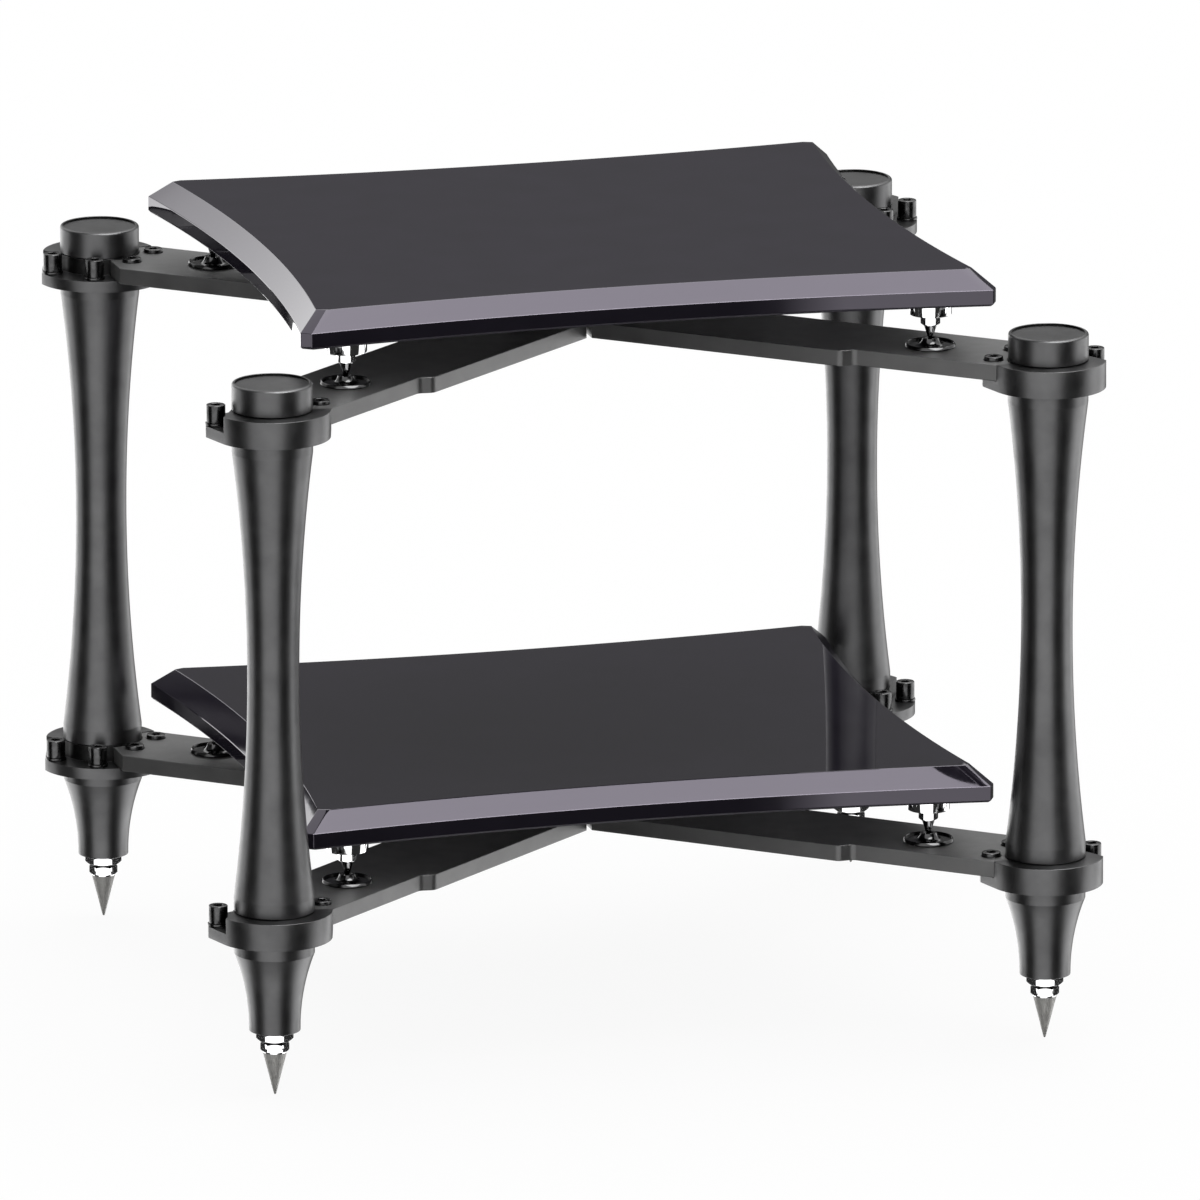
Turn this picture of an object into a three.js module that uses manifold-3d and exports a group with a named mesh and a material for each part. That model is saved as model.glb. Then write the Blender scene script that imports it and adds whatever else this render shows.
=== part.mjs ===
// Two-tier audio equipment rack: four waisted posts on spiked feet, a collar at each level,
// flat arms that run from the collars to the middle, and two shelf boards standing on spikes.
// Millimetres, +Z up, with the origin on the floor under the middle of the rack.
import * as THREE from 'three';
import { mergeVertices } from 'three/addons/utils/BufferGeometryUtils.js';
import Module from 'manifold-3d';

const wasm = await Module();
wasm.setup();

// Layout of the posts, and the clearances that every piece keeps
const postSpanX = 544;
const postSpanY = 480;
const seatGap = 0.3;
const boreClearance = 0.4;
const cutOverrun = 5;
const joinDepth = 1;

// Floor spikes with their lock nuts
const spikeConeHeight = 30;
const spikeConeRadius = 8.2;
const spikeTipRadius = 0.8;
const spikeHexHeight = 7.5;
const spikeHexAcross = 17;
const spikeShankRadius = 5;
const spikeShankLength = 30;
const lockNutHeight = 7.2;
const lockNutAcross = 22;
const hexTurn = -15.4;

// Posts: foot, column and cap share one outer radius at their ends
const postRadius = 27.4;
const postBand = 10;
const footHeight = 64.8;
const footWaistRadius = 17.5;
const footToe = 1.7;
const columnHeight = 329.2;
const columnWaistRadius = 17.6;
const capHeight = 18.6;
const capEdge = 1;
const capRim = 1.1;
const capRecess = 1.5;
const capBoreDepth = 12;

// Tie rod hidden inside each post
const tieRodRadius = 5;
const tieRodFootGap = 8;
const tieRodTopGap = 2;

// Collars: the post side is round, and a wider lobe carries the arm and two screws
const collarHeight = 18.7;
const collarRadius = 39.4;
const collarLobeRadius = 43.9;
const collarLobeShift = 3.7;
const collarLobeTurn = 50;
const collarLobeStart = -34;
const collarLobeEnd = 131.2;
const collarHubRadius = 27.4;
const collarPlateHeight = 7.8;
const collarLedgeHeight = 6.8;
const collarWallTurn = 110.9;
const collarWallOffset = 26.8;
const collarChamferTurn = 47.5;
const collarButtTurn = -52;
const pocketOverlap = 8;

// Screw heads, each in one piece with what it holds down
const screwHeadRadius = 6.5;
const screwHeadHeight = 8;
const plateScrewHeadHeight = 12.3;
const washerRadius = 7.2;
const washerHeight = 1.9;
const plateScrewRadius = 38;
const plateScrewTurns = [67.7, 121.5];
const smallHeadRadius = 5;
const smallHeadHeight = 6;

// Arms: wide, flat, narrower on one side near the post, with a slot between their mitred ends
const armThickness = 11.2;
const armHalfWidth = 38.7;
const armNarrowHalfWidth = 31;
const armStepStart = 131;
const armStepEnd = 138;
const armScrewReach = 33.5;
const armScrewSpread = 16.1;
const armCounterboreDepth = 5.4;
const mitreGap = 3.4;

// Plate that joins the four arms in the middle
const hubPlateRadius = 60;
const hubPlateThickness = 6;
const hubScrewReach = 40;
const hubScrewSpread = 12;

// Isolators: a dish on each arm and a spike under the board
const isolatorReach = 88.5;
const dishRadius = 17.5;
const dishRimHeight = 1.9;
const dishRimWidth = 1.8;
const dishBasinHeight = 1;
const dishBossRadius = 5.5;
const dishHeight = 5.8;
const dimpleRadius = 3.4;
const dimpleFloorRadius = 1.2;
const dimpleFloorHeight = 1.8;
const boardSpikeLength = 20.4;
const boardConeRadius = 4.1;
const boardConeLength = 11.6;
const boardNeckRadius = 5.4;
const boardHexRise = 12.9;
const boardHexAcross = 11.6;
const boardSpikeTipRadius = 0.7;
const boardFlangeRadius = 14.5;
const boardFlangeHeight = 10;

// Shelf boards: hollowed sides, cut corners and a wide bevel round the top
const boardInsetX = 27.5;
const boardInsetY = 25;
const boardThickness = 23.8;
const boardEdgeHeight = 11.3;
const boardFacetX = 6.5;
const boardFacetY = 4.7;
const boardFrontRightFacetX = 4;
const boardFrontRightFacetY = 8;
const boardHollowFront = 16.2;
const boardHollowSide = 14.5;
const bevelX = 14.2;
const bevelY = 15;
const bevelFacetX = 6.3;
const bevelFacetY = 2.7;
const bevelFrontRightFacetX = 3.4;
const bevelFrontRightFacetY = 5;
const bevelHollowFront = 12.7;
const bevelHollowSide = 13.1;
const boardUndercut = 1.6;

// Steps of the round shapes
const postSegments = 24;
const postArcSteps = 4;
const footArcSteps = 4;
const dishSegments = 16;
const dishFlareSteps = 4;
const spikeSegments = 12;
const screwSegments = 10;
const arcSteps = 12;
const boardSideSteps = 8;
const hexSides = 6;

// Heights of the stack, from the floor up
const lockNutBase = spikeConeHeight + spikeHexHeight + seatGap;
const footBase = lockNutBase + lockNutHeight + seatGap;
const lowerCollarBase = footBase + footHeight + seatGap;
const columnBase = lowerCollarBase + collarHeight + seatGap;
const upperCollarBase = columnBase + columnHeight + seatGap;
const capBase = upperCollarBase + collarHeight + seatGap;

// Heights within one level, above the underside of its collars
const armRise = collarLedgeHeight + seatGap;
const armTopRise = armRise + armThickness;
const dishRise = armTopRise + seatGap;
const boardSpikeRise = dishRise + dimpleFloorHeight + seatGap;
const boardRise = boardSpikeRise + boardSpikeLength + boardFlangeHeight + seatGap;
const hubPlateRise = armTopRise + seatGap;

// The line of an arm from its post to the middle
const halfSpanX = postSpanX / 2;
const halfSpanY = postSpanY / 2;
const armTurn = Math.atan2(halfSpanY, halfSpanX);
const armReach = Math.hypot(halfSpanX, halfSpanY);

// The boards keep their distance from the post axes
const boardHalfX = halfSpanX - boardInsetX;
const boardHalfY = halfSpanY - boardInsetY;

const levels = [
  { name: 'lower', base: lowerCollarBase },
  { name: 'upper', base: upperCollarBase },
];

const corners = [
  { name: 'front_left', signX: -1, signY: -1 },
  { name: 'front_right', signX: 1, signY: -1 },
  { name: 'rear_left', signX: -1, signY: 1 },
  { name: 'rear_right', signX: 1, signY: 1 },
];

const finishes = {
  satinBlack: { color: '#262627', roughness: 0.38, metalness: 0.75 },
  glossBlack: { color: '#0c0b0d', roughness: 0.08, metalness: 0 },
  dishBlack: { color: '#101011', roughness: 0.12, metalness: 0.6 },
  chrome: { color: '#d8d9db', roughness: 0.08, metalness: 1 },
  greySteel: { color: '#77756f', roughness: 0.4, metalness: 0.9 },
};

const rack = new THREE.Group();

const addPiece = (name, geometry, finish) => {
  const mesh = new THREE.Mesh(geometry, new THREE.MeshStandardMaterial(finishes[finish]));
  mesh.name = name;
  rack.add(mesh);
  return mesh;
};

// Corner pieces are drawn for the front left post, with s along the arm from the post axis
// and c to its left; the front right and rear left ones are their mirror images
const cornerPlace = corner => ({
  x: corner.signX * halfSpanX,
  y: corner.signY * halfSpanY,
  turn: Math.atan2(-corner.signY * halfSpanY, -corner.signX * halfSpanX),
  side: corner.signX * corner.signY,
});

const mirrored = geometry => {
  const copy = geometry.clone().scale(1, -1, 1);
  const index = copy.index;
  for (let i = 0; i < index.count; i += 3) {
    const second = index.getX(i + 1);
    index.setX(i + 1, index.getX(i + 2));
    index.setX(i + 2, second);
  }
  return copy;
};

const addCornerPiece = (name, geometry, corner, height, finish) => {
  const place = cornerPlace(corner);
  const mesh = addPiece(name, place.side > 0 ? geometry : mirrored(geometry), finish);
  mesh.position.set(place.x, place.y, height);
  mesh.rotation.z = place.turn;
};

const inRack = (corner, s, c) => {
  const place = cornerPlace(corner);
  const across = c * place.side;
  return new THREE.Vector2(
    place.x + s * Math.cos(place.turn) - across * Math.sin(place.turn),
    place.y + s * Math.sin(place.turn) + across * Math.cos(place.turn),
  );
};

// Basic shapes
const radians = THREE.MathUtils.degToRad;

const polar = (radius, degrees) => {
  const angle = radians(degrees);
  return new THREE.Vector2(radius * Math.cos(angle), radius * Math.sin(angle));
};

const turned = (profile, segments) => {
  const points = profile.map(([radius, height]) => new THREE.Vector2(radius, height));
  return new THREE.LatheGeometry(points, segments).rotateX(Math.PI / 2);
};

const rod = (radius, low, high, segments) => {
  return turned([[0, low], [radius, low], [radius, high], [0, high]], segments);
};

const extruded = (shape, height) => {
  return new THREE.ExtrudeGeometry(shape, { depth: height, bevelEnabled: false, curveSegments: arcSteps });
};

const hexagon = across => {
  const radius = across / 2 / Math.cos(Math.PI / hexSides);
  const points = [];
  for (let i = 0; i < hexSides; i += 1) {
    points.push(polar(radius, hexTurn + (i * 360) / hexSides));
  }
  return new THREE.Shape(points);
};

// Solids for cutting and joining, and back again
const solidOf = geometry => {
  const bare = geometry.clone();
  bare.deleteAttribute('normal');
  bare.deleteAttribute('uv');
  const merged = mergeVertices(bare);
  const triangles = [];
  for (let i = 0; i < merged.index.count; i += 3) {
    const [a, b, c] = [merged.index.getX(i), merged.index.getX(i + 1), merged.index.getX(i + 2)];
    if (a !== b && b !== c && c !== a) triangles.push(a, b, c);
  }
  const vertProperties = new Float32Array(merged.attributes.position.array);
  const triVerts = new Uint32Array(triangles);
  return new wasm.Manifold(new wasm.Mesh({ numProp: 3, vertProperties, triVerts }));
};

const geometryOf = solid => {
  const mesh = solid.getMesh();
  const geometry = new THREE.BufferGeometry();
  geometry.setAttribute('position', new THREE.BufferAttribute(new Float32Array(mesh.vertProperties), 3));
  geometry.setIndex(new THREE.BufferAttribute(new Uint32Array(mesh.triVerts), 1));
  geometry.computeVertexNormals();
  return geometry;
};

const roundSolid = (point, radius, low, high) => {
  return solidOf(rod(radius, low, high, screwSegments).translate(point.x, point.y, 0));
};

// Heights and radii of a hollow arc that leaves a straight line at the waist
const hollowArc = (waistRadius, endRadius, rise, steps) => {
  const swell = endRadius - waistRadius;
  const arcRadius = (rise * rise + swell * swell) / (2 * swell);
  const points = [];
  for (let i = 0; i <= steps; i += 1) {
    const height = (rise * i) / steps;
    points.push([waistRadius + arcRadius - Math.sqrt(arcRadius * arcRadius - height * height), height]);
  }
  return points;
};

// Floor spike: cone, hexagon and threaded shank in one piece
const floorSpikeGeometry = () => {
  const hexMiddle = spikeConeHeight + spikeHexHeight / 2;
  const cone = solidOf(turned([
    [0, 0],
    [spikeTipRadius, 0],
    [spikeConeRadius, spikeConeHeight],
    [spikeConeRadius, hexMiddle],
    [0, hexMiddle],
  ], spikeSegments));
  const hex = solidOf(extruded(hexagon(spikeHexAcross), spikeHexHeight).translate(0, 0, spikeConeHeight));
  const shank = solidOf(rod(spikeShankRadius, hexMiddle, shankTop, spikeSegments));
  return geometryOf(cone.add(hex).add(shank));
};

const lockNutGeometry = () => {
  const body = solidOf(extruded(hexagon(lockNutAcross), lockNutHeight));
  const boreRadius = spikeShankRadius + boreClearance;
  const bore = rod(boreRadius, -cutOverrun, lockNutHeight + cutOverrun, spikeSegments);
  return geometryOf(body.subtract(solidOf(bore)));
};

// Posts
const footGeometry = () => {
  const boreRadius = spikeShankRadius + boreClearance;
  const arc = hollowArc(footWaistRadius, postRadius, footHeight - footToe - postBand, footArcSteps);
  return turned([
    [boreRadius, 0],
    [footWaistRadius, 0],
    ...arc.map(([radius, height]) => [radius, footToe + height]),
    [postRadius, footHeight],
    [boreRadius, footHeight],
    [boreRadius, 0],
  ], postSegments);
};

const columnGeometry = () => {
  const boreRadius = tieRodRadius + boreClearance;
  const middle = columnHeight / 2;
  const upper = hollowArc(columnWaistRadius, postRadius, middle - postBand, postArcSteps);
  const lower = upper.slice(1).reverse();
  return turned([
    [boreRadius, 0],
    [postRadius, 0],
    ...lower.map(([radius, height]) => [radius, middle - height]),
    ...upper.map(([radius, height]) => [radius, middle + height]),
    [postRadius, columnHeight],
    [boreRadius, columnHeight],
    [boreRadius, 0],
  ], postSegments);
};

const capGeometry = () => {
  const boreRadius = tieRodRadius + boreClearance;
  return turned([
    [0, capBoreDepth],
    [boreRadius, capBoreDepth],
    [boreRadius, 0],
    [postRadius, 0],
    [postRadius, capHeight - capEdge],
    [postRadius - capEdge, capHeight],
    [postRadius - capEdge - capRim, capHeight],
    [postRadius - capEdge - capRim, capHeight - capRecess],
    [0, capHeight - capRecess],
  ], postSegments);
};

const shankTop = spikeConeHeight + spikeHexHeight + spikeShankLength;
const tieRodBase = shankTop + tieRodFootGap;
const tieRodLength = capBase + capBoreDepth - tieRodTopGap - tieRodBase;

// Collar
const collarOutline = () => {
  const lobeCentre = polar(collarLobeShift, collarLobeTurn);
  const lobeStart = polar(collarLobeRadius, collarLobeStart).add(lobeCentre);
  const lobeEnd = polar(collarLobeRadius, collarLobeEnd).add(lobeCentre);
  const [startTurn, endTurn] = [radians(collarLobeStart), radians(collarLobeEnd)];
  const tangentTurn = corner => Math.acos(collarRadius / corner.length());
  const roundStart = lobeEnd.angle() + tangentTurn(lobeEnd);
  const roundEnd = lobeStart.angle() - tangentTurn(lobeStart);
  const outline = new THREE.Shape();
  outline.absarc(0, 0, collarRadius, roundStart, roundEnd, false);
  outline.absarc(lobeCentre.x, lobeCentre.y, collarLobeRadius, startTurn, endTurn, false);
  return outline;
};

const pocketReach = 2 * collarLobeRadius;

// Low plate for the two screws, between the arm and a straight wall beside the hub
const screwPocket = () => {
  const wallStart = polar(collarWallOffset, collarWallTurn);
  const wallEnd = wallStart.clone().add(polar(pocketReach, collarWallTurn + 90));
  const pocket = new THREE.Shape();
  pocket.absarc(0, 0, wallEnd.length(), radians(collarChamferTurn - pocketOverlap), wallEnd.angle(), false);
  pocket.lineTo(wallStart.x, wallStart.y);
  pocket.lineTo(0, 0);
  return pocket;
};

// Ledge that carries the end of the arm
const armPocket = () => {
  const pocket = new THREE.Shape();
  pocket.absarc(0, 0, pocketReach, radians(collarButtTurn), radians(collarChamferTurn), false);
  pocket.lineTo(0, 0);
  return pocket;
};

const plateScrewPlaces = plateScrewTurns.map(turn => polar(plateScrewRadius, turn));

const collarGeometry = () => {
  const pocketTop = collarHeight + cutOverrun;
  const screwCut = extruded(screwPocket(), pocketTop - collarPlateHeight).translate(0, 0, collarPlateHeight);
  const armCut = extruded(armPocket(), pocketTop - collarLedgeHeight).translate(0, 0, collarLedgeHeight);
  const bore = rod(tieRodRadius + boreClearance, -cutOverrun, pocketTop, screwSegments);
  let collar = solidOf(extruded(collarOutline(), collarHeight));
  collar = collar.subtract(solidOf(screwCut)).subtract(solidOf(armCut));
  collar = collar.add(solidOf(rod(collarHubRadius, joinDepth, collarHeight, postSegments)));
  collar = collar.subtract(solidOf(bore));
  const seat = collarPlateHeight + washerHeight;
  for (const place of plateScrewPlaces) {
    collar = collar.add(roundSolid(place, washerRadius, collarPlateHeight - joinDepth, seat));
    collar = collar.add(roundSolid(place, screwHeadRadius, collarPlateHeight, seat + plateScrewHeadHeight));
  }
  return geometryOf(collar);
};

// Arm: a point of its outline on a line beside a ray from the post axis, at the given distance
// to the left of the ray
const besideRayAt = (turn, offset, c) => {
  const along = (c - offset * Math.cos(radians(turn))) / Math.sin(radians(turn));
  return polar(along, turn).add(polar(offset, turn + 90));
};

const besideRayOnCircle = (turn, offset, radius) => {
  return polar(Math.sqrt(radius * radius - offset * offset), turn).add(polar(offset, turn + 90));
};

// Where a line along the arm meets the mitre in front and the mitre at the side
const frontMitre = c => {
  return new THREE.Vector2((halfSpanX - mitreGap / 2 + c * Math.sin(armTurn)) / Math.cos(armTurn), c);
};

const sideMitre = c => {
  return new THREE.Vector2((halfSpanY - mitreGap / 2 - c * Math.cos(armTurn)) / Math.sin(armTurn), c);
};

const armOutline = () => {
  const hollowRadius = collarHubRadius + seatGap;
  const chamferEnd = besideRayOnCircle(collarChamferTurn, -seatGap, hollowRadius);
  const buttEnd = besideRayOnCircle(collarButtTurn, seatGap, hollowRadius);
  const middle = new THREE.Vector2(halfSpanX - mitreGap / 2, halfSpanY - mitreGap / 2);
  middle.rotateAround(new THREE.Vector2(0, 0), -armTurn);
  const outline = new THREE.Shape([
    besideRayAt(collarButtTurn, seatGap, -armNarrowHalfWidth),
    new THREE.Vector2(armStepStart, -armNarrowHalfWidth),
    new THREE.Vector2(armStepEnd, -armHalfWidth),
    frontMitre(-armHalfWidth),
    middle,
    sideMitre(armHalfWidth),
    besideRayAt(collarChamferTurn, -seatGap, armHalfWidth),
  ]);
  outline.absarc(0, 0, hollowRadius, chamferEnd.angle(), buttEnd.angle(), true);
  return outline;
};

const armGeometry = () => {
  let arm = solidOf(extruded(armOutline(), armThickness));
  const seat = armThickness - armCounterboreDepth;
  for (const spread of [-armScrewSpread, armScrewSpread]) {
    const place = new THREE.Vector2(armScrewReach, spread);
    arm = arm.subtract(roundSolid(place, screwHeadRadius + boreClearance, seat, armThickness + cutOverrun));
    arm = arm.add(roundSolid(place, screwHeadRadius, seat - joinDepth, seat + screwHeadHeight));
  }
  return geometryOf(arm);
};

// Plate in the middle, on top of the arms
const hubPlateGeometry = () => {
  let plate = solidOf(rod(hubPlateRadius, 0, hubPlateThickness, postSegments));
  for (const corner of corners) {
    for (const spread of [-hubScrewSpread, hubScrewSpread]) {
      const point = inRack(corner, armReach - hubScrewReach, spread);
      const top = hubPlateThickness + smallHeadHeight;
      plate = plate.add(roundSolid(point, smallHeadRadius, hubPlateThickness - joinDepth, top));
    }
  }
  return geometryOf(plate);
};

// Isolators
const dishGeometry = () => {
  const flareStart = dishRadius - dishRimWidth;
  const flare = [];
  for (let i = 0; i <= dishFlareSteps; i += 1) {
    const share = i / dishFlareSteps;
    const radius = flareStart + (dishBossRadius - flareStart) * share;
    flare.push([radius, dishBasinHeight + (dishHeight - dishBasinHeight) * share * share * share]);
  }
  return turned([
    [0, 0],
    [dishRadius, 0],
    [dishRadius, dishRimHeight],
    [flareStart, dishRimHeight],
    ...flare,
    [dimpleRadius, dishHeight],
    [dimpleFloorRadius, dimpleFloorHeight],
    [0, dimpleFloorHeight],
  ], dishSegments);
};

// Board spike: cone, hexagon and flange in one piece
const boardSpikeGeometry = () => {
  const spike = solidOf(turned([
    [0, 0],
    [boardSpikeTipRadius, 0],
    [boardConeRadius, boardConeLength],
    [boardNeckRadius, boardHexRise],
    [boardNeckRadius, boardSpikeLength],
    [boardFlangeRadius, boardSpikeLength],
    [boardFlangeRadius, boardSpikeLength + boardFlangeHeight],
    [0, boardSpikeLength + boardFlangeHeight],
  ], dishSegments));
  const hexHeight = boardSpikeLength + boardFlangeHeight / 2 - boardHexRise;
  const hex = solidOf(extruded(hexagon(boardHexAcross), hexHeight).translate(0, 0, boardHexRise));
  return geometryOf(spike.add(hex));
};

// Shelf board: rings of points joined from the underside up
const hollowSide = (from, to, depth) => {
  const chord = new THREE.Vector2().subVectors(to, from);
  const half = chord.length() / 2;
  const along = chord.clone().normalize();
  const inward = new THREE.Vector2(-along.y, along.x);
  const arcRadius = (half * half + depth * depth) / (2 * depth);
  const points = [from];
  for (let i = 1; i < boardSideSteps; i += 1) {
    const run = half * ((2 * i) / boardSideSteps - 1);
    const dip = Math.sqrt(arcRadius * arcRadius - run * run) - (arcRadius - depth);
    points.push(from.clone().addScaledVector(along, half + run).addScaledVector(inward, dip));
  }
  points.push(to);
  return points;
};

const boardRing = (half, facet, frontRightFacet, frontHollow, sideHollow) => {
  const shortX = half.x - facet.x;
  const shortY = half.y - facet.y;
  const frontRight = half.clone().sub(frontRightFacet);
  const point = (x, y) => new THREE.Vector2(x, y);
  return [
    ...hollowSide(point(half.x, -frontRight.y), point(half.x, shortY), sideHollow),
    ...hollowSide(point(shortX, half.y), point(-shortX, half.y), frontHollow),
    ...hollowSide(point(-half.x, shortY), point(-half.x, -shortY), sideHollow),
    ...hollowSide(point(-shortX, -half.y), point(frontRight.x, -half.y), frontHollow),
  ];
};

const loft = (rings, heights) => {
  const count = rings[0].length;
  const positions = [];
  rings.forEach((ring, level) => {
    ring.forEach(point => positions.push(point.x, point.y, heights[level]));
  });
  const faces = [];
  for (let level = 0; level < rings.length - 1; level += 1) {
    for (let i = 0; i < count; i += 1) {
      const next = (i + 1) % count;
      const [a, b] = [level * count + i, level * count + next];
      faces.push(a, b, b + count, a, b + count, a + count);
    }
  }
  const topStart = (rings.length - 1) * count;
  for (const [a, b, c] of THREE.ShapeUtils.triangulateShape(rings[0], [])) {
    faces.push(a, c, b);
  }
  for (const [a, b, c] of THREE.ShapeUtils.triangulateShape(rings[rings.length - 1], [])) {
    faces.push(topStart + a, topStart + b, topStart + c);
  }
  const geometry = new THREE.BufferGeometry();
  geometry.setAttribute('position', new THREE.Float32BufferAttribute(positions, 3));
  geometry.setIndex(faces);
  geometry.computeVertexNormals();
  return geometry;
};

const boardGeometry = () => {
  const half = new THREE.Vector2(boardHalfX, boardHalfY);
  const facet = new THREE.Vector2(boardFacetX, boardFacetY);
  const frontRight = new THREE.Vector2(boardFrontRightFacetX, boardFrontRightFacetY);
  const edge = boardRing(half, facet, frontRight, boardHollowFront, boardHollowSide);
  const lowHalf = half.clone().subScalar(boardUndercut);
  const underside = boardRing(lowHalf, facet, frontRight, boardHollowFront, boardHollowSide);
  const topHalf = new THREE.Vector2(boardHalfX - bevelX, boardHalfY - bevelY);
  const topFacet = new THREE.Vector2(bevelFacetX, bevelFacetY);
  const topFrontRight = new THREE.Vector2(bevelFrontRightFacetX, bevelFrontRightFacetY);
  const top = boardRing(topHalf, topFacet, topFrontRight, bevelHollowFront, bevelHollowSide);
  return loft([underside, edge, edge, top], [0, boardUndercut, boardEdgeHeight, boardThickness]);
};

// Posts with their feet
for (const corner of corners) {
  const post = inRack(corner, 0, 0);
  addPiece(`floor_spike_${corner.name}`, floorSpikeGeometry(), 'greySteel').position.set(post.x, post.y, 0);
  addPiece(`lock_nut_${corner.name}`, lockNutGeometry(), 'chrome').position.set(post.x, post.y, lockNutBase);
  addCornerPiece(`foot_${corner.name}`, footGeometry(), corner, footBase, 'satinBlack');
  addCornerPiece(`column_${corner.name}`, columnGeometry(), corner, columnBase, 'satinBlack');
  addCornerPiece(`cap_${corner.name}`, capGeometry(), corner, capBase, 'satinBlack');
  const tieRod = rod(tieRodRadius, 0, tieRodLength, screwSegments);
  addCornerPiece(`tie_rod_${corner.name}`, tieRod, corner, tieRodBase, 'greySteel');
}

// Frames and shelves
for (const level of levels) {
  for (const corner of corners) {
    const place = `${level.name}_${corner.name}`;
    const isolator = inRack(corner, isolatorReach, 0);
    addCornerPiece(`collar_${place}`, collarGeometry(), corner, level.base, 'satinBlack');
    addCornerPiece(`arm_${place}`, armGeometry(), corner, level.base + armRise, 'satinBlack');
    const dish = addPiece(`dish_${place}`, dishGeometry(), 'dishBlack');
    dish.position.set(isolator.x, isolator.y, level.base + dishRise);
    const spike = addPiece(`board_spike_${place}`, boardSpikeGeometry(), 'chrome');
    spike.position.set(isolator.x, isolator.y, level.base + boardSpikeRise);
  }
  const hubPlate = addPiece(`hub_plate_${level.name}`, hubPlateGeometry(), 'satinBlack');
  hubPlate.position.z = level.base + hubPlateRise;
  const board = addPiece(`shelf_board_${level.name}`, boardGeometry(), 'glossBlack');
  board.position.z = level.base + boardRise;
}

export default rack;
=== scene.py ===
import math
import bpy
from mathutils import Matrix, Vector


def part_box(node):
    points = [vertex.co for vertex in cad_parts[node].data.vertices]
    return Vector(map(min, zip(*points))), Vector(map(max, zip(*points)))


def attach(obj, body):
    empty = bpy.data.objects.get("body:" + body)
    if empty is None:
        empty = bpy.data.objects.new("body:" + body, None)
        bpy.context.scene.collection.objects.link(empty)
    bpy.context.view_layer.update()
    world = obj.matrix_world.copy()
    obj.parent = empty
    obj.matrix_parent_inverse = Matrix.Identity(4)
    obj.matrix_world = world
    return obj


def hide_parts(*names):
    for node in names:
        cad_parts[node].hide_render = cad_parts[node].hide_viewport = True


bl_info = {
    "name": "Audio Rack",
    "version": (1, 0, 0),
    "blender": (4, 5, 0),
    "location": "3D View > Sidebar > Audio Rack",
    "description": "Dresses an audio rack: waisted posts, clamped arms, shelves on spikes",
    "category": "Object",
}

from functools import partial

import bmesh
import bpy
from bpy.props import FloatProperty, FloatVectorProperty, IntProperty, PointerProperty
from bpy.types import Operator, Panel, PropertyGroup
from mathutils import Matrix, Vector

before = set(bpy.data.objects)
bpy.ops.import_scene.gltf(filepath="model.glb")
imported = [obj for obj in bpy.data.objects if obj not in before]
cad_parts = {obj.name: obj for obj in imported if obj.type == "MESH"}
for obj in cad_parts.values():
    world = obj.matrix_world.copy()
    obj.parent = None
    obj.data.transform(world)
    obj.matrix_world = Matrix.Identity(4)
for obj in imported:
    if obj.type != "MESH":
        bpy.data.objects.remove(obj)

CORNERS = {
    "front_left": (-1, -1),
    "front_right": (1, -1),
    "rear_left": (-1, 1),
    "rear_right": (1, 1),
}
LEVELS = ("lower", "upper")
FULL_TURN = 2 * math.pi

# Distances below which points are one point, in a rolled up seam and after a bevel or a cut
SEAM_GAP = 0.00001
WELD_GAP = 0.000001
# Slack in a test of where a point lies, and how far a cutting shape stands out of what it cuts
SLACK = 0.0001
OVERSHOOT = 0.01
# Normals of upright faces rise less than the first, those of undersides fall by more than the
# second, and faces that face the same way agree by more than the third
UPRIGHT = 0.3
UNDERSIDE = -0.5
SAME_WAY = 0.9
# Steps round turned shapes: discs, dishes, cones, holes and screws
DISC_STEPS = 96
DISH_STEPS = 72
CONE_STEPS = 64
HOLE_STEPS = 48
SCREW_STEPS = 32
# Turn between the points of an arc that only cuts
COARSE_STEP = 0.3


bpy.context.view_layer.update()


def box_centre(node):
    low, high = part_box(node)
    return (low + high) / 2


def post_place(corner, height=0.0):
    centre = box_centre(f"column_{corner}")
    return Vector((centre.x, centre.y, height))


def base_of(node):
    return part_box(node)[0].z


def seat_of(node):
    """The point under the middle of a node."""
    return Vector((*box_centre(node).xy, base_of(node)))


def height_of(node):
    low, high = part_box(node)
    return high.z - low.z


HALF_SPAN = Vector((abs(post_place("rear_right").x), abs(post_place("rear_right").y)))


# Sizes and finishes that a user would change
def labelled(group):
    """Makes the properties of a group, each with a name in the words of its own key."""
    for key, make in group.__annotations__.items():
        group.__annotations__[key] = make(name=key.replace("_", " ").title())
    return group


def length(description, default):
    limits = {"unit": "LENGTH", "precision": 4, "min": 0.0}
    return partial(FloatProperty, description=description, default=default, **limits)


def angle(description, degrees):
    turn = math.radians(degrees)
    return partial(FloatProperty, description=description, default=turn, subtype="ANGLE")


def colour(description, default):
    limits = {"subtype": "COLOR", "size": 3, "min": 0.0, "max": 1.0}
    return partial(FloatVectorProperty, description=description, default=default, **limits)


def factor(description, default):
    limits = {"subtype": "FACTOR", "min": 0.0, "max": 1.0}
    return partial(FloatProperty, description=description, default=default, **limits)


def strength(description, default):
    return partial(FloatProperty, description=description, default=default, min=0.0)


def whole(description, default, least):
    return partial(IntProperty, description=description, default=default, min=least)


def settings_of(kind, description):
    return partial(PointerProperty, type=kind, description=description)


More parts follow.
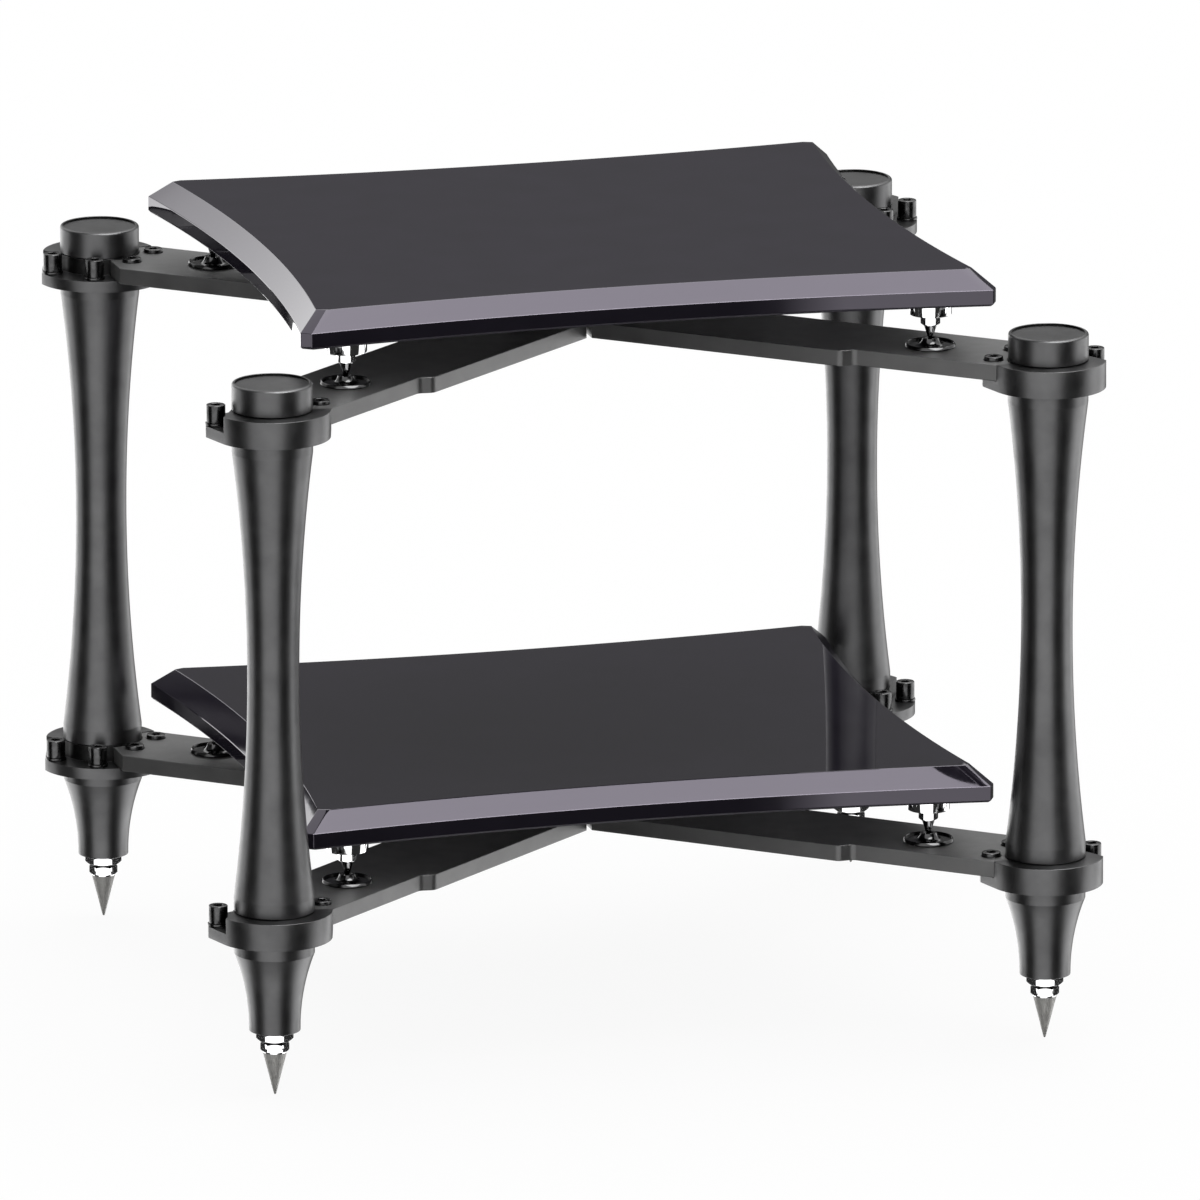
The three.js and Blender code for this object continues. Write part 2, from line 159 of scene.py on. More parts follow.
@labelled
class PostSizes(PropertyGroup):
    end_radius: length("Radius of a post where it meets a collar", 0.0274)
    band: length("Straight band at the end of a column or foot", 0.010)
    column_waist: length("Radius in the middle of a column", 0.0176)
    foot_waist: length("Radius at the bottom of a foot", 0.0175)
    foot_toe: length("Straight part at the bottom of a foot", 0.0017)
    rod_bore: length("Radius of the hole for the tie rod", 0.0054)
    edge: length("Width of the broken edges", 0.0005)
    cap_edge: length("Rounding of the top edge of a cap", 0.0018)
    cap_rim: length("Width of the raised rim of a cap", 0.0004)
    cap_recess: length("Depth of the recessed disc in a cap", 0.0015)
    segments: whole("Steps round a post", 128, 16)
    rows: whole("Steps along a column", 72, 8)


@labelled
class CollarSizes(PropertyGroup):
    radius: length("Radius of the round part of the outline", 0.0394)
    lobe_radius: length("Radius of the wide side that faces the arm", 0.0439)
    lobe_shift: length("Distance of the lobe centre from the post axis", 0.0037)
    lobe_turn: angle("Direction of the lobe centre from the arm", 50)
    lobe_start: angle("Where the lobe arc starts", -34)
    lobe_end: angle("Where the lobe arc ends", 131.2)
    plate_height: length("Height of the low plate under the two screws", 0.0078)
    ledge_height: length("Height of the ledge under the arm", 0.0068)
    wall_turn: angle("Direction in which the straight wall stands off the post axis", 110.9)
    wall_offset: length("Distance of the straight wall from the post axis", 0.0268)
    chamfer_turn: angle("Ray along the chamfered side of the arm", 47.5)
    butt_turn: angle("Ray along the butt end of the arm", -52)
    pocket_overlap: angle("How far the screw pocket reaches into the arm's seat", 8)
    screw_radius: length("Distance of the plate screws from the post axis", 0.038)
    first_screw: angle("Direction of the first plate screw", 67.7)
    second_screw: angle("Direction of the second plate screw", 121.5)
    edge: length("Width of the broken edges", 0.0005)
    top_edge: length("Rounding of the outer edge round the top", 0.0018)


@labelled
class ArmSizes(PropertyGroup):
    half_width: length("Half of the width of the wide part", 0.0387)
    narrow_half: length("Half width on the narrow side near the post", 0.031)
    step_start: length("Distance from the post axis where the width starts to grow", 0.131)
    step_end: length("Distance from the post axis where the full width starts", 0.138)
    step_fillet: length("Radius of the fillets at the step", 0.006)
    mitre_gap: length("Slot between the mitred ends", 0.0034)
    fit: length("Gap between the arm and its collar", 0.0003)
    screw_reach: length("Distance of the arm screws from the post axis", 0.0335)
    screw_spread: length("Distance of the arm screws from the middle line", 0.0161)
    counterbore: length("Depth of the round pockets for the screw heads", 0.0054)
    edge: length("Width of the broken edges", 0.0005)


@labelled
class ScrewSizes(PropertyGroup):
    head_radius: length("Radius of the collar and arm screw heads", 0.0065)
    head_height: length("Height of the arm screw heads", 0.008)
    tall_height: length("Height of the collar screw heads", 0.0123)
    socket_across: length("Width of the hexagon socket over its flats", 0.006)
    socket_depth: length("Depth of the hexagon socket", 0.0038)
    washer_radius: length("Radius of the washers on the collar plates", 0.0072)
    washer_height: length("Thickness of the washers", 0.0019)
    small_radius: length("Radius of the screw heads in the hub plate", 0.005)
    small_height: length("Height of the screw heads in the hub plate", 0.006)
    small_share: factor("Size of their sockets against the larger ones", 0.8)
    clearance: length("Gap round a screw head in its pocket", 0.0004)
    seed: whole("Seed of the turn of each screw", 7, 0)


@labelled
class IsolatorSizes(PropertyGroup):
    reach: length("Distance of the isolators from the post axis", 0.0885)
    dish_radius: length("Outer radius of a dish", 0.0175)
    rim_height: length("Height of the rim of a dish", 0.0024)
    rim_width: length("Width of the rim of a dish", 0.0018)
    rim_lean: length("How far the outer side of the rim leans in", 0.00054)
    basin_height: length("Height of the ring inside the rim", 0.0010)
    dish_edge: length("Width of the broken edges of a dish", 0.0004)
    boss_radius: length("Radius of the middle of a dish", 0.0055)
    boss_steps: whole("Steps up the side of the middle of a dish", 16, 2)
    boss_curve: whole("How late and steeply the middle of a dish rises", 8, 1)
    dish_height: length("Height of the middle of a dish", 0.0058)
    dimple_radius: length("Radius of the hollow that takes the spike", 0.0034)
    dimple_floor: length("Height of the bottom of the hollow", 0.0018)
    dimple_floor_radius: length("Radius of the bottom of the hollow", 0.0012)
    tip_radius: length("Radius of the tip of a board spike", 0.0007)
    tip_flat: length("Radius of the flat end of the tip", 0.00049)
    tip_height: length("Height of the tip", 0.0004)
    cone_radius: length("Radius of the wide end of the cone", 0.0041)
    cone_length: length("Length of the cone", 0.0116)
    neck_radius: length("Radius of the round core of the hexagon", 0.0050)
    hex_rise: length("Height of the hexagon's underside over the tip", 0.0129)
    hex_across: length("Width of the hexagon over its flats", 0.0116)
    hex_turn: angle("Turn of the hexagons of the board spikes", -15.4)
    flange_rise: length("Height of the flange's underside over the tip", 0.0204)
    flange_radius: length("Radius of the flange under the board", 0.0145)
    flange_height: length("Height of the flange under the board", 0.010)
    flange_edge: length("Rounding of the flange, and gap over the cone", 0.0006)
    shoulder: length("Height of the round shoulder at both ends of the hexagon", 0.0003)
    hex_edge: length("Width of the hexagon's broken edges", 0.0002)


@labelled
class BoardSizes(PropertyGroup):
    half_x: length("Half of the width of a shelf board", 0.2445)
    half_y: length("Half of the depth of a shelf board", 0.215)
    facet_x: length("Cut corner along the width", 0.0065)
    facet_y: length("Cut corner along the depth", 0.0047)
    right_facet_x: length("Cut of the front right corner along the width", 0.004)
    right_facet_y: length("Cut of the front right corner along the depth", 0.008)
    hollow_front: length("How far the front and rear edges curve in", 0.0162)
    hollow_side: length("How far the side edges curve in", 0.0145)
    edge_height: length("Height of the upright edge", 0.0113)
    bevel_x: length("Width of the bevel at the sides", 0.0142)
    bevel_y: length("Width of the bevel in front and at the rear", 0.015)
    bevel_facet_x: length("Cut corner of the top along the width", 0.0063)
    bevel_facet_y: length("Cut corner of the top along the depth", 0.0027)
    bevel_right_x: length("Cut of the top's front right corner along the width", 0.0034)
    bevel_right_y: length("Cut of the top's front right corner along the depth", 0.005)
    bevel_hollow_front: length("How far the top's front edge curves in", 0.0127)
    bevel_hollow_side: length("How far the top's side edges curve in", 0.0131)
    undercut: length("Width of the small chamfer round the underside", 0.0016)
    edge: length("Width of the broken edges", 0.0004)
    side_steps: whole("Steps along each curved edge", 64, 4)


@labelled
class FootingSizes(PropertyGroup):
    tip_radius: length("Radius of the tip of a floor spike", 0.0008)
    tip_flat: length("Radius of the flat end of the tip", 0.00048)
    tip_height: length("Height of the tip", 0.0005)
    cone_radius: length("Radius of the top of the cone", 0.0082)
    cone_height: length("Height of the cone of a floor spike", 0.030)
    hex_across: length("Width of the spike's hexagon over its flats", 0.017)
    hex_height: length("Height of the spike's hexagon", 0.0075)
    shoulder: length("Height of the round shoulder at both ends of a hexagon", 0.0006)
    shank_radius: length("Radius of the threaded shank", 0.005)
    shank_length: length("Length of the threaded shank", 0.030)
    root_radius: length("Radius of the shank inside the hexagon", 0.004)
    thread_pitch: length("Height of one turn of the thread", 0.0015)
    nut_across: length("Width of the lock nut over its flats", 0.022)
    nut_height: length("Height of the lock nut", 0.0072)
    nut_edge: length("Width of the lock nut's broken edges", 0.00025)
    hex_edge: length("Width of the hexagon's broken edges", 0.0002)
    hex_turn: angle("Turn of the hexagons about the post", -15.4)


@labelled
class HubSizes(PropertyGroup):
    radius: length("Radius of the plate that joins the arms", 0.060)
    thickness: length("Thickness of the plate", 0.006)
    screw_reach: length("Distance of its screws from the middle", 0.040)
    screw_spread: length("Distance of its screws from the arm's middle line", 0.012)
    edge: length("Width of the broken edge", 0.0008)


@labelled
class FinishColours(PropertyGroup):
    post_dark: colour("Darker tone of the black posts and collars", (0.060, 0.060, 0.061))
    post_light: colour("Lighter tone of the black posts and collars", (0.078, 0.078, 0.079))
    arm_dark: colour("Darker tone of the arms", (0.102, 0.102, 0.102))
    arm_light: colour("Lighter tone of the arms", (0.128, 0.128, 0.128))
    screw_dark: colour("Darker tone of the black screws", (0.040, 0.040, 0.040))
    screw_light: colour("Lighter tone of the black screws", (0.065, 0.065, 0.066))
    # Painted shade: near-black tones laid on recess walls, pocket walls and the gaps at the nuts,
    # where shade falls
    painted_shade_dark: colour("Darker tone inside pockets and recesses", (0.010, 0.010, 0.010))
    painted_shade_light: colour("Lighter tone inside pockets and recesses", (0.018, 0.018, 0.018))
    board_dark: colour("Darker tone of the glossy boards", (0.0208, 0.0180, 0.0268))
    board_light: colour("Lighter tone of the glossy boards", (0.0247, 0.0213, 0.0320))
    board_sheen: colour("Tint of the gloss on the boards", (0.92, 0.85, 1.0))
    dish_dark: colour("Darker tone of the black dishes", (0.040, 0.040, 0.040))
    dish_light: colour("Lighter tone of the black dishes", (0.055, 0.055, 0.056))
    chrome_dark: colour("Darker tone of the plated pieces", (0.72, 0.72, 0.73))
    chrome_light: colour("Lighter tone of the plated pieces", (0.80, 0.80, 0.80))
    spike_dark: colour("Darker tone of the floor spikes", (0.335, 0.330, 0.315))
    spike_light: colour("Lighter tone of the floor spikes", (0.425, 0.420, 0.405))
    rod_dark: colour("Darker tone of the tie rods", (0.42, 0.42, 0.43))
    rod_light: colour("Lighter tone of the tie rods", (0.52, 0.52, 0.53))
    post_roughness: factor("Roughness of the black posts and collars", 0.36)
    arm_roughness: factor("Roughness of the arms", 0.36)
    arm_metal: factor("How far the arms mirror as bare metal does", 0.2)
    board_roughness: factor("Roughness of the glossy boards", 0.035)
    board_index: strength("Index of refraction of the boards' lacquer", 1.54)
    spike_metal: factor("How far the floor spikes mirror as bare metal does", 0.3)


@labelled
class StageSettings(PropertyGroup):
    camera_turn: angle("Turn of the camera about the rack, from the front", -15.357)
    camera_rise: angle("Height of the camera above the horizon", 14.28)
    distance: length("Distance of the camera from the middle of the floor", 14.0433)
    aim_right: length("How far right of the middle the camera aims", 0.021506)
    aim_up: length("How far above the floor the camera aims", 0.259938)
    lens: strength("Focal length in millimetres", 608.58)
    film_width: strength("Width of the camera's film in millimetres", 36.0)
    view_depth: length("Distance past which the camera sees nothing", 100.0)
    floor_size: length("Width of the floor", 24.0)
    floor_glow: factor("Share of the floor's white that no shadow can reach", 0.92)
    lamp_power: strength("Strength of the soft light above", 1.6)
    lamp_spread: angle("Angular width of the soft light above", 70)
    lamp_lean_back: angle("Turn of the soft light about the rack's width", -12)
    lamp_lean_right: angle("Turn of the soft light about the rack's depth", 10)
    ambient: factor("Plain light from all round", 0.5)
    panel_light: strength("Brightness of the studio panels", 3.0)


@labelled
class RackSettings(PropertyGroup):
    post: settings_of(PostSizes, "Columns, feet and caps")
    collar: settings_of(CollarSizes, "Clamps that hold the arms to the posts")
    arm: settings_of(ArmSizes, "Flat bars from the posts to the middle")
    screw: settings_of(ScrewSizes, "Socket screws and their washers")
    isolator: settings_of(IsolatorSizes, "Dishes on the arms and the spikes that stand in them")
    board: settings_of(BoardSizes, "Shelf boards")
    footing: settings_of(FootingSizes, "Floor spikes and lock nuts")
    hub: settings_of(HubSizes, "Plates that join the arms")
    finish: settings_of(FinishColours, "Colours and gloss")
    stage: settings_of(StageSettings, "Floor, light and camera")


# Nodes
class Figure:
    """A number in a node tree: plain arithmetic on it adds Math nodes."""

    def __init__(self, tree, socket):
        self.tree = tree
        self.socket = socket

    def calculate(self, operation, other=0.0):
        node = add_node(self.tree, "ShaderNodeMath", {0: self, 1: other}, operation=operation)
        return Figure(self.tree, node.outputs[0])

    def __add__(self, other):
        return self.calculate("ADD", other)

    def __sub__(self, other):
        return self.calculate("SUBTRACT", other)

    def __mul__(self, other):
        return self.calculate("MULTIPLY", other)

    def __truediv__(self, other):
        return self.calculate("DIVIDE", other)

    def __lt__(self, other):
        return self.calculate("LESS_THAN", other)

    def __gt__(self, other):
        return self.calculate("GREATER_THAN", other)


def add_node(tree, kind, inputs=None, **settings):
    node = tree.nodes.new(kind)
    for name, value in settings.items():
        setattr(node, name, value)
    for name, value in (inputs or {}).items():
        socket = node.inputs[name]
        if isinstance(value, Figure):
            value = value.socket
        if isinstance(value, bpy.types.NodeSocket):
            tree.links.new(value, socket)
        else:
            socket.default_value = value
    return node


def result_of(tree, kind, inputs=None, **settings):
    """Adds a node and gives its first output."""
    return add_node(tree, kind, inputs, **settings).outputs[0]


def axes_of(tree, vector):
    parts = add_node(tree, "ShaderNodeSeparateXYZ", {0: vector}).outputs
    return [Figure(tree, part) for part in parts]


def vector_of(tree, **axes):
    return result_of(tree, "ShaderNodeCombineXYZ", axes)


def blend(tree, share, below, above):
    """The first colour where the share is 0, the second where it is 1."""
    inputs = {0: share, 6: below, 7: above}
    return add_node(tree, "ShaderNodeMix", inputs, data_type="RGBA").outputs[2]


def pick(condition, otherwise, chosen):
    inputs = {"Switch": condition, "False": otherwise, "True": chosen}
    tree = condition.tree
    return Figure(tree, result_of(tree, "GeometryNodeSwitch", inputs, input_type="FLOAT"))


def new_geometry_tree(name, sockets):
    """A tree that takes places and the named sockets, with its inputs by name."""
    tree = bpy.data.node_groups.new(name, "GeometryNodeTree")
    for label, kind in {"Geometry": "Geometry", **sockets}.items():
        tree.interface.new_socket(label, in_out="INPUT", socket_type=f"NodeSocket{kind}")
    tree.interface.new_socket("Geometry", in_out="OUTPUT", socket_type="NodeSocketGeometry")
    given = add_node(tree, "NodeGroupInput").outputs
    return tree, {socket.name: Figure(tree, socket) for socket in given}


def finish_tree(tree, instances, material):
    realized = result_of(tree, "GeometryNodeRealizeInstances", {0: instances})
    inputs = {"Geometry": realized, "Material": material}
    painted = result_of(tree, "GeometryNodeSetMaterial", inputs)
    add_node(tree, "NodeGroupOutput", {0: painted})


def waisted_round_tree():
    """A turned post on each place: straight bands at its ends, a hollow arc between them."""
    tree, given = new_geometry_tree("Waisted Round", {
        "Height": "Float",
        "End Radius": "Float",
        "Waist Radius": "Float",
        "Waist Height": "Float",
        "Lower Band": "Float",
        "Upper Band": "Float",
        "Bore Radius": "Float",
        "Hollow Below": "Bool",
        "Segments": "Int",
        "Rows": "Int",
        "Finish": "Material",
    })
    full_height, rows, waist_radius = given["Height"], given["Rows"], given["Waist Radius"]
    waist_height, upper_band = given["Waist Height"], given["Upper Band"]

    # A flat grid is rolled up: its width runs round the post, its lines go up outside and down
    # the bore
    lines = rows + 4
    grid = result_of(tree, "GeometryNodeMeshGrid", {
        "Size X": 1.0, "Size Y": 1.0, "Vertices X": given["Segments"] + 1, "Vertices Y": lines,
    })
    across, upwards, _ = axes_of(tree, result_of(tree, "GeometryNodeInputPosition"))
    turn = (across + 0.5) * FULL_TURN
    row = (upwards + 0.5) * (lines - 1) - 1

    # Height of each row: the two bands first, then even steps along the arc
    share = ((row - 1) / (rows - 2)).calculate("MAXIMUM", 0.0).calculate("MINIMUM", 1.0)
    arc_span = full_height - (given["Lower Band"] + upper_band)
    height = given["Lower Band"] + share * arc_span
    height = pick(row < 0.5, height, 0.0)
    height = pick(row > rows - 0.5, height, full_height)
    height = pick(row > rows + 1.5, height, 0.0)

    # Radius: an arc that leaves a straight line at the waist and meets the upper band
    rise = full_height - upper_band - waist_height
    swell = given["End Radius"] - waist_radius
    arc_radius = (rise * rise + swell * swell) / (swell * 2.0)
    above = height - waist_height
    below = (above * -1.0).calculate("MAXIMUM", 0.0) * given["Hollow Below"]
    away = above.calculate("MAXIMUM", below).calculate("MINIMUM", rise)
    dip = arc_radius - (arc_radius * arc_radius - away * away).calculate("SQRT")
    in_bore = (row < -0.5).calculate("MAXIMUM", row > rows + 0.5)
    radius = pick(in_bore, waist_radius + dip, given["Bore Radius"])

    x, y = radius * turn.calculate("COSINE"), radius * turn.calculate("SINE")
    place = vector_of(tree, X=x, Y=y, Z=height)
    bent = result_of(tree, "GeometryNodeSetPosition", {"Geometry": grid, "Position": place})
    seam = {"Geometry": bent, "Distance": SEAM_GAP}
    closed = result_of(tree, "GeometryNodeMergeByDistance", seam)
    on_places = {"Points": given["Geometry"], "Instance": closed}
    copies = result_of(tree, "GeometryNodeInstanceOnPoints", on_places)
    finish_tree(tree, copies, given["Finish"])
    return tree


def copies_tree():
    """A piece on each place, turned by a set angle and a seeded random share of a spread."""
    tree, given = new_geometry_tree("Copies On Places", {
        "Piece": "Object",
        "Turn": "Float",
        "Turn Spread": "Float",
        "Seed": "Int",
        "Finish": "Material",
    })
    info = add_node(tree, "GeometryNodeObjectInfo", {"Object": given["Piece"]})
    chance = add_node(tree, "FunctionNodeRandomValue", {"Seed": given["Seed"]}, data_type="FLOAT")
    turn = given["Turn"] + Figure(tree, chance.outputs[1]) * given["Turn Spread"]
    copies = result_of(tree, "GeometryNodeInstanceOnPoints", {
        "Points": given["Geometry"],
        "Instance": info.outputs["Geometry"],
        "Rotation": vector_of(tree, Z=turn),
    })
    finish_tree(tree, copies, given["Finish"])
    return tree


def built_tree(name, build):
    return bpy.data.node_groups.get(name) or build()


# Objects and meshes
def new_object(name, mesh):
    old = bpy.data.objects.get(name)
    if old is not None:
        bpy.data.objects.remove(old)
    piece = bpy.data.objects.new(name, mesh)
    bpy.context.scene.collection.objects.link(piece)
    return piece


def object_from(name, shape):
    mesh = bpy.data.meshes.new(name)
    shape.to_mesh(mesh)
    shape.free()
    return new_object(name, mesh)


def apply_modifiers(piece):
    bpy.context.view_layer.update()
    graph = bpy.context.evaluated_depsgraph_get()
    made = bpy.data.meshes.new_from_object(piece.evaluated_get(graph), depsgraph=graph)
    piece.modifiers.clear()
    piece.data = made
    return piece


def weld(piece):
    """Merges points that lie on each other and takes out the faces without area between them."""
    shape = bmesh.new()
    shape.from_mesh(piece.data)
    bmesh.ops.remove_doubles(shape, verts=shape.verts, dist=WELD_GAP)
    bmesh.ops.dissolve_degenerate(shape, dist=WELD_GAP, edges=shape.edges)
    shape.to_mesh(piece.data)
    shape.free()
    return piece


def break_edges(piece, width, segments=2, degrees=30):
    bevel = piece.modifiers.new("Broken Edges", "BEVEL")
    bevel.width = width
    bevel.segments = segments
    bevel.limit_method = "ANGLE"
    bevel.angle_limit = math.radians(degrees)
    bevel.miter_outer = "MITER_SHARP"
    return apply_modifiers(piece)


def round_chosen_edges(piece, width, other_width, is_chosen, segments=4, degrees=30):
    """Rounds the sharp edges: the chosen ones with the full width, others with the smaller."""
    shape = bmesh.new()
    shape.from_mesh(piece.data)
    weight = shape.edges.layers.float.new("bevel_weight_edge")
    for edge in shape.edges:
        if len(edge.link_faces) == 2 and edge.calc_face_angle() > math.radians(degrees):
            ends = (corner.co for corner in edge.verts)
            edge[weight] = 1.0 if is_chosen(*ends) else other_width / width
    shape.to_mesh(piece.data)
    shape.free()
    bevel = piece.modifiers.new("Rounded Edges", "BEVEL")
    bevel.width = width
    bevel.segments = segments
    bevel.limit_method = "WEIGHT"
    return apply_modifiers(piece)


def smooth(piece, degrees=25):
    for face in piece.data.polygons:
        face.use_smooth = True
    piece.data.set_sharp_from_angle(angle=math.radians(degrees))
    return piece


def settle(piece, body, nodes=(), finish=None):
    """Gives a finished piece its finish and its body, and hides the nodes that it stands for."""
    if finish is not None:
        piece.data.materials.clear()
        piece.data.materials.append(finish_of(finish))
    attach(piece, body)
    if nodes:
        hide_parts(*nodes)
    return piece


def add_finish(piece, name, is_chosen):
    """One more finish, on the chosen faces; the choice takes a face's middle and its normal."""
    piece.data.materials.append(finish_of(name))
    for face in piece.data.polygons:
        if is_chosen(face.center, face.normal):
            face.material_index = len(piece.data.materials) - 1


def polar(radius, turn):
    return Vector((radius * math.cos(turn), radius * math.sin(turn)))


def heading(point):
    return math.atan2(point.y, point.x) % FULL_TURN


def arc(centre, radius, start, end, step=0.05):
    """Points of an arc, about one step of turn apart."""
    count = max(2, round(abs(end - start) / step))
    return [centre + polar(radius, start + (end - start) * i / count) for i in range(count + 1)]


def lathe(profile, segments=DISC_STEPS):
    """Closed turned shape from points of radius and height, from axis to axis."""
    shape = bmesh.new()
    turns = [FULL_TURN * i / segments for i in range(segments)]
    rings = []
    for radius, height in profile:
        if radius > 0:
            rings.append([shape.verts.new((*polar(radius, turn), height)) for turn in turns])
        else:
            rings.append([shape.verts.new((0, 0, height))])
    for lower, upper in zip(rings, rings[1:]):
        for i in range(segments):
            j = (i + 1) % segments
            if len(lower) == 1:
                shape.faces.new((lower[0], upper[j], upper[i]))
            elif len(upper) == 1:
                shape.faces.new((lower[i], lower[j], upper[0]))
            else:
                shape.faces.new((lower[i], lower[j], upper[j], upper[i]))
    bmesh.ops.recalc_face_normals(shape, faces=shape.faces)
    return shape


def loft(rings, heights):
    """Closed shape through flat outlines, each at its height."""
    shape = bmesh.new()
    layers = [
        [shape.verts.new((point.x, point.y, height)) for point in ring]
        for ring, height in zip(rings, heights)
    ]
    shape.faces.new(list(reversed(layers[0])))
    shape.faces.new(layers[-1])
    for lower, upper in zip(layers, layers[1:]):
        for i in range(len(lower)):
            j = (i + 1) % len(lower)
            shape.faces.new((lower[i], lower[j], upper[j], upper[i]))
    bmesh.ops.recalc_face_normals(shape, faces=shape.faces)
    return shape


def prism(outline, low, high):
    return loft([outline, outline], [low, high])


def quarter_turns(steps):
    return [math.pi / 2 * i / steps for i in range(steps + 1)]


def rounded_top(radius, high, edge, steps):
    """Points of a rounded upper edge, from the side to the top."""
    return [
        (radius - edge + edge * math.cos(turn), high - edge + edge * math.sin(turn))
        for turn in quarter_turns(steps)
    ]


def rounded_bar(radius, low, high, edge, steps=3):
    """Profile of a solid bar with rounded edges at both ends."""
    lower = [
        (radius - edge + edge * math.sin(turn), low + edge - edge * math.cos(turn))
        for turn in quarter_turns(steps)
    ]
    return [(0, low), *lower, *rounded_top(radius, high, edge, steps), (0, high)]


def corner_radius(across):
    """From the middle of a hexagon to its corners, for its width over the flats."""
    return across / 2 / math.cos(FULL_TURN / 12)


def hexagon(across):
    return [polar(corner_radius(across), FULL_TURN / 6 * i) for i in range(6)]


def add_boolean(piece, other, operation):
    step = piece.modifiers.new("Carve", "BOOLEAN")
    step.operation = operation
    step.object = other
    step.solver = "EXACT"


def carve(name, solid, cuts=(), joins=()):
    """The first solid less the cuts and with the joins, as one object."""
    piece = object_from(name, solid)
    helpers = []
    for operation, shapes in (("DIFFERENCE", cuts), ("UNION", joins)):
        for shape in shapes:
            helpers.append(object_from(f"{name}_helper_{len(helpers)}", shape))
            add_boolean(piece, helpers[-1], operation)
    apply_modifiers(piece)
    for helper in helpers:
        bpy.data.objects.remove(helper)
    return piece


def corner_turn(corner):
    sign_x, sign_y = CORNERS[corner]
    return math.atan2(-sign_y * HALF_SPAN.y, -sign_x * HALF_SPAN.x)


def corner_side(corner):
    sign_x, sign_y = CORNERS[corner]
    return sign_x * sign_y


def in_rack(corner, along, across, height):
    """A point at a distance along the arm and to its left, seen from the front left post."""
    turn, side = corner_turn(corner), corner_side(corner)
    place = post_place(corner, height)
    place.x += along * math.cos(turn) - across * side * math.sin(turn)
    place.y += along * math.sin(turn) + across * side * math.cos(turn)
    return place


def corner_copy(name, pattern, corner, height):
    """The front left pattern turned, and mirrored where needed, to its own corner."""
    mesh = pattern.data.copy()
    mesh.name = name
    side = corner_side(corner)
    place = Matrix.Translation(post_place(corner, height))
    turned = Matrix.Rotation(corner_turn(corner), 4, "Z")
    mesh.transform(place @ turned @ Matrix.Diagonal((1, side, 1, 1)))
    if side < 0:
        mesh.flip_normals()
    return new_object(name, mesh)


def run_tree(name, tree, places, values):
    """Runs a tree on the places and keeps the result as a plain mesh."""
    mesh = bpy.data.meshes.new(name)
    mesh.from_pydata(list(places), [], [])
    piece = new_object(name, mesh)
    nodes = piece.modifiers.new("Shape", "NODES")
    nodes.node_group = tree
    for item in tree.interface.items_tree:
        if item.item_type == "SOCKET" and item.in_out == "INPUT" and item.name in values:
            nodes[item.identifier] = values[item.name]
    return apply_modifiers(piece)


def copy_on(name, pattern, places, finish, turn=0.0, spread=0.0, seed=0):
    tree = built_tree("Copies On Places", copies_tree)
    return run_tree(name, tree, places, {
        "Piece": pattern,
        "Turn": turn,
        "Turn Spread": spread,
        "Seed": seed,
        "Finish": finish_of(finish),
    })


# Finishes
def new_node_material(name):
    old = bpy.data.materials.get(name)
    if old is not None:
        bpy.data.materials.remove(old)
    material = bpy.data.materials.new(name)
    material.use_nodes = True
    material.node_tree.nodes.clear()
    return material, material.node_tree


def grain(tree, scale, detail=2.0, stretch=(1.0, 1.0, 1.0)):
    where = add_node(tree, "ShaderNodeTexCoord").outputs["Object"]
    mapped = result_of(tree, "ShaderNodeMapping", {"Vector": where, "Scale": stretch})
    inputs = {"Vector": mapped, "Scale": scale, "Detail": detail}
    return result_of(tree, "ShaderNodeTexNoise", inputs)


# Most values of a noise lie between these
NOISE_LOW = 0.3
NOISE_HIGH = 0.7


def between(tree, share, low, high):
    """Stretches the middle of a noise over a range."""
    return result_of(tree, "ShaderNodeMapRange", {
        "Value": share,
        "From Min": NOISE_LOW,
        "From Max": NOISE_HIGH,
        "To Min": low,
        "To Max": high,
    })


# How a kind of surface varies: the scale of its roughness against that of its tone, the detail
# of that roughness, the strength of its relief and the relief's detail
METAL = (2.3, 4.0, 0.35, 2.0)
POLISH = (3.1, 5.0, 0.2, 1.0)
TONE_DETAIL = 3.0


def make_finish(name, tones, roughness, spread, tone_scale, relief_scale, depth,
                manner=METAL, constants=None, stretch=(1.0, 1.0, 1.0)):
    """An uneven tone, a roughness that varies and a fine relief; constants go on the shader."""
    material, tree = new_node_material(name)
    roughness_scale, roughness_detail, relief_strength, relief_detail = manner
    dark, light = ((*tone, 1) for tone in tones)
    tone_share = between(tree, grain(tree, tone_scale, TONE_DETAIL), 0.0, 1.0)
    uneven = grain(tree, tone_scale * roughness_scale, roughness_detail)
    relief = result_of(tree, "ShaderNodeBump", {
        "Strength": relief_strength,
        "Distance": depth,
        "Height": grain(tree, relief_scale, relief_detail, stretch),
    })
    surface = result_of(tree, "ShaderNodeBsdfPrincipled", {
        "Base Color": blend(tree, tone_share, dark, light),
        "Roughness": between(tree, uneven, roughness - spread, roughness + spread),
        "Normal": relief,
        **(constants or {"Metallic": 1.0}),
    })
    add_node(tree, "ShaderNodeOutputMaterial", {"Surface": surface})


def finish_of(name):
    material = bpy.data.materials.get(name)
    if material is None:
        raise RuntimeError(f"the finish {name} isn't made yet")
    return material


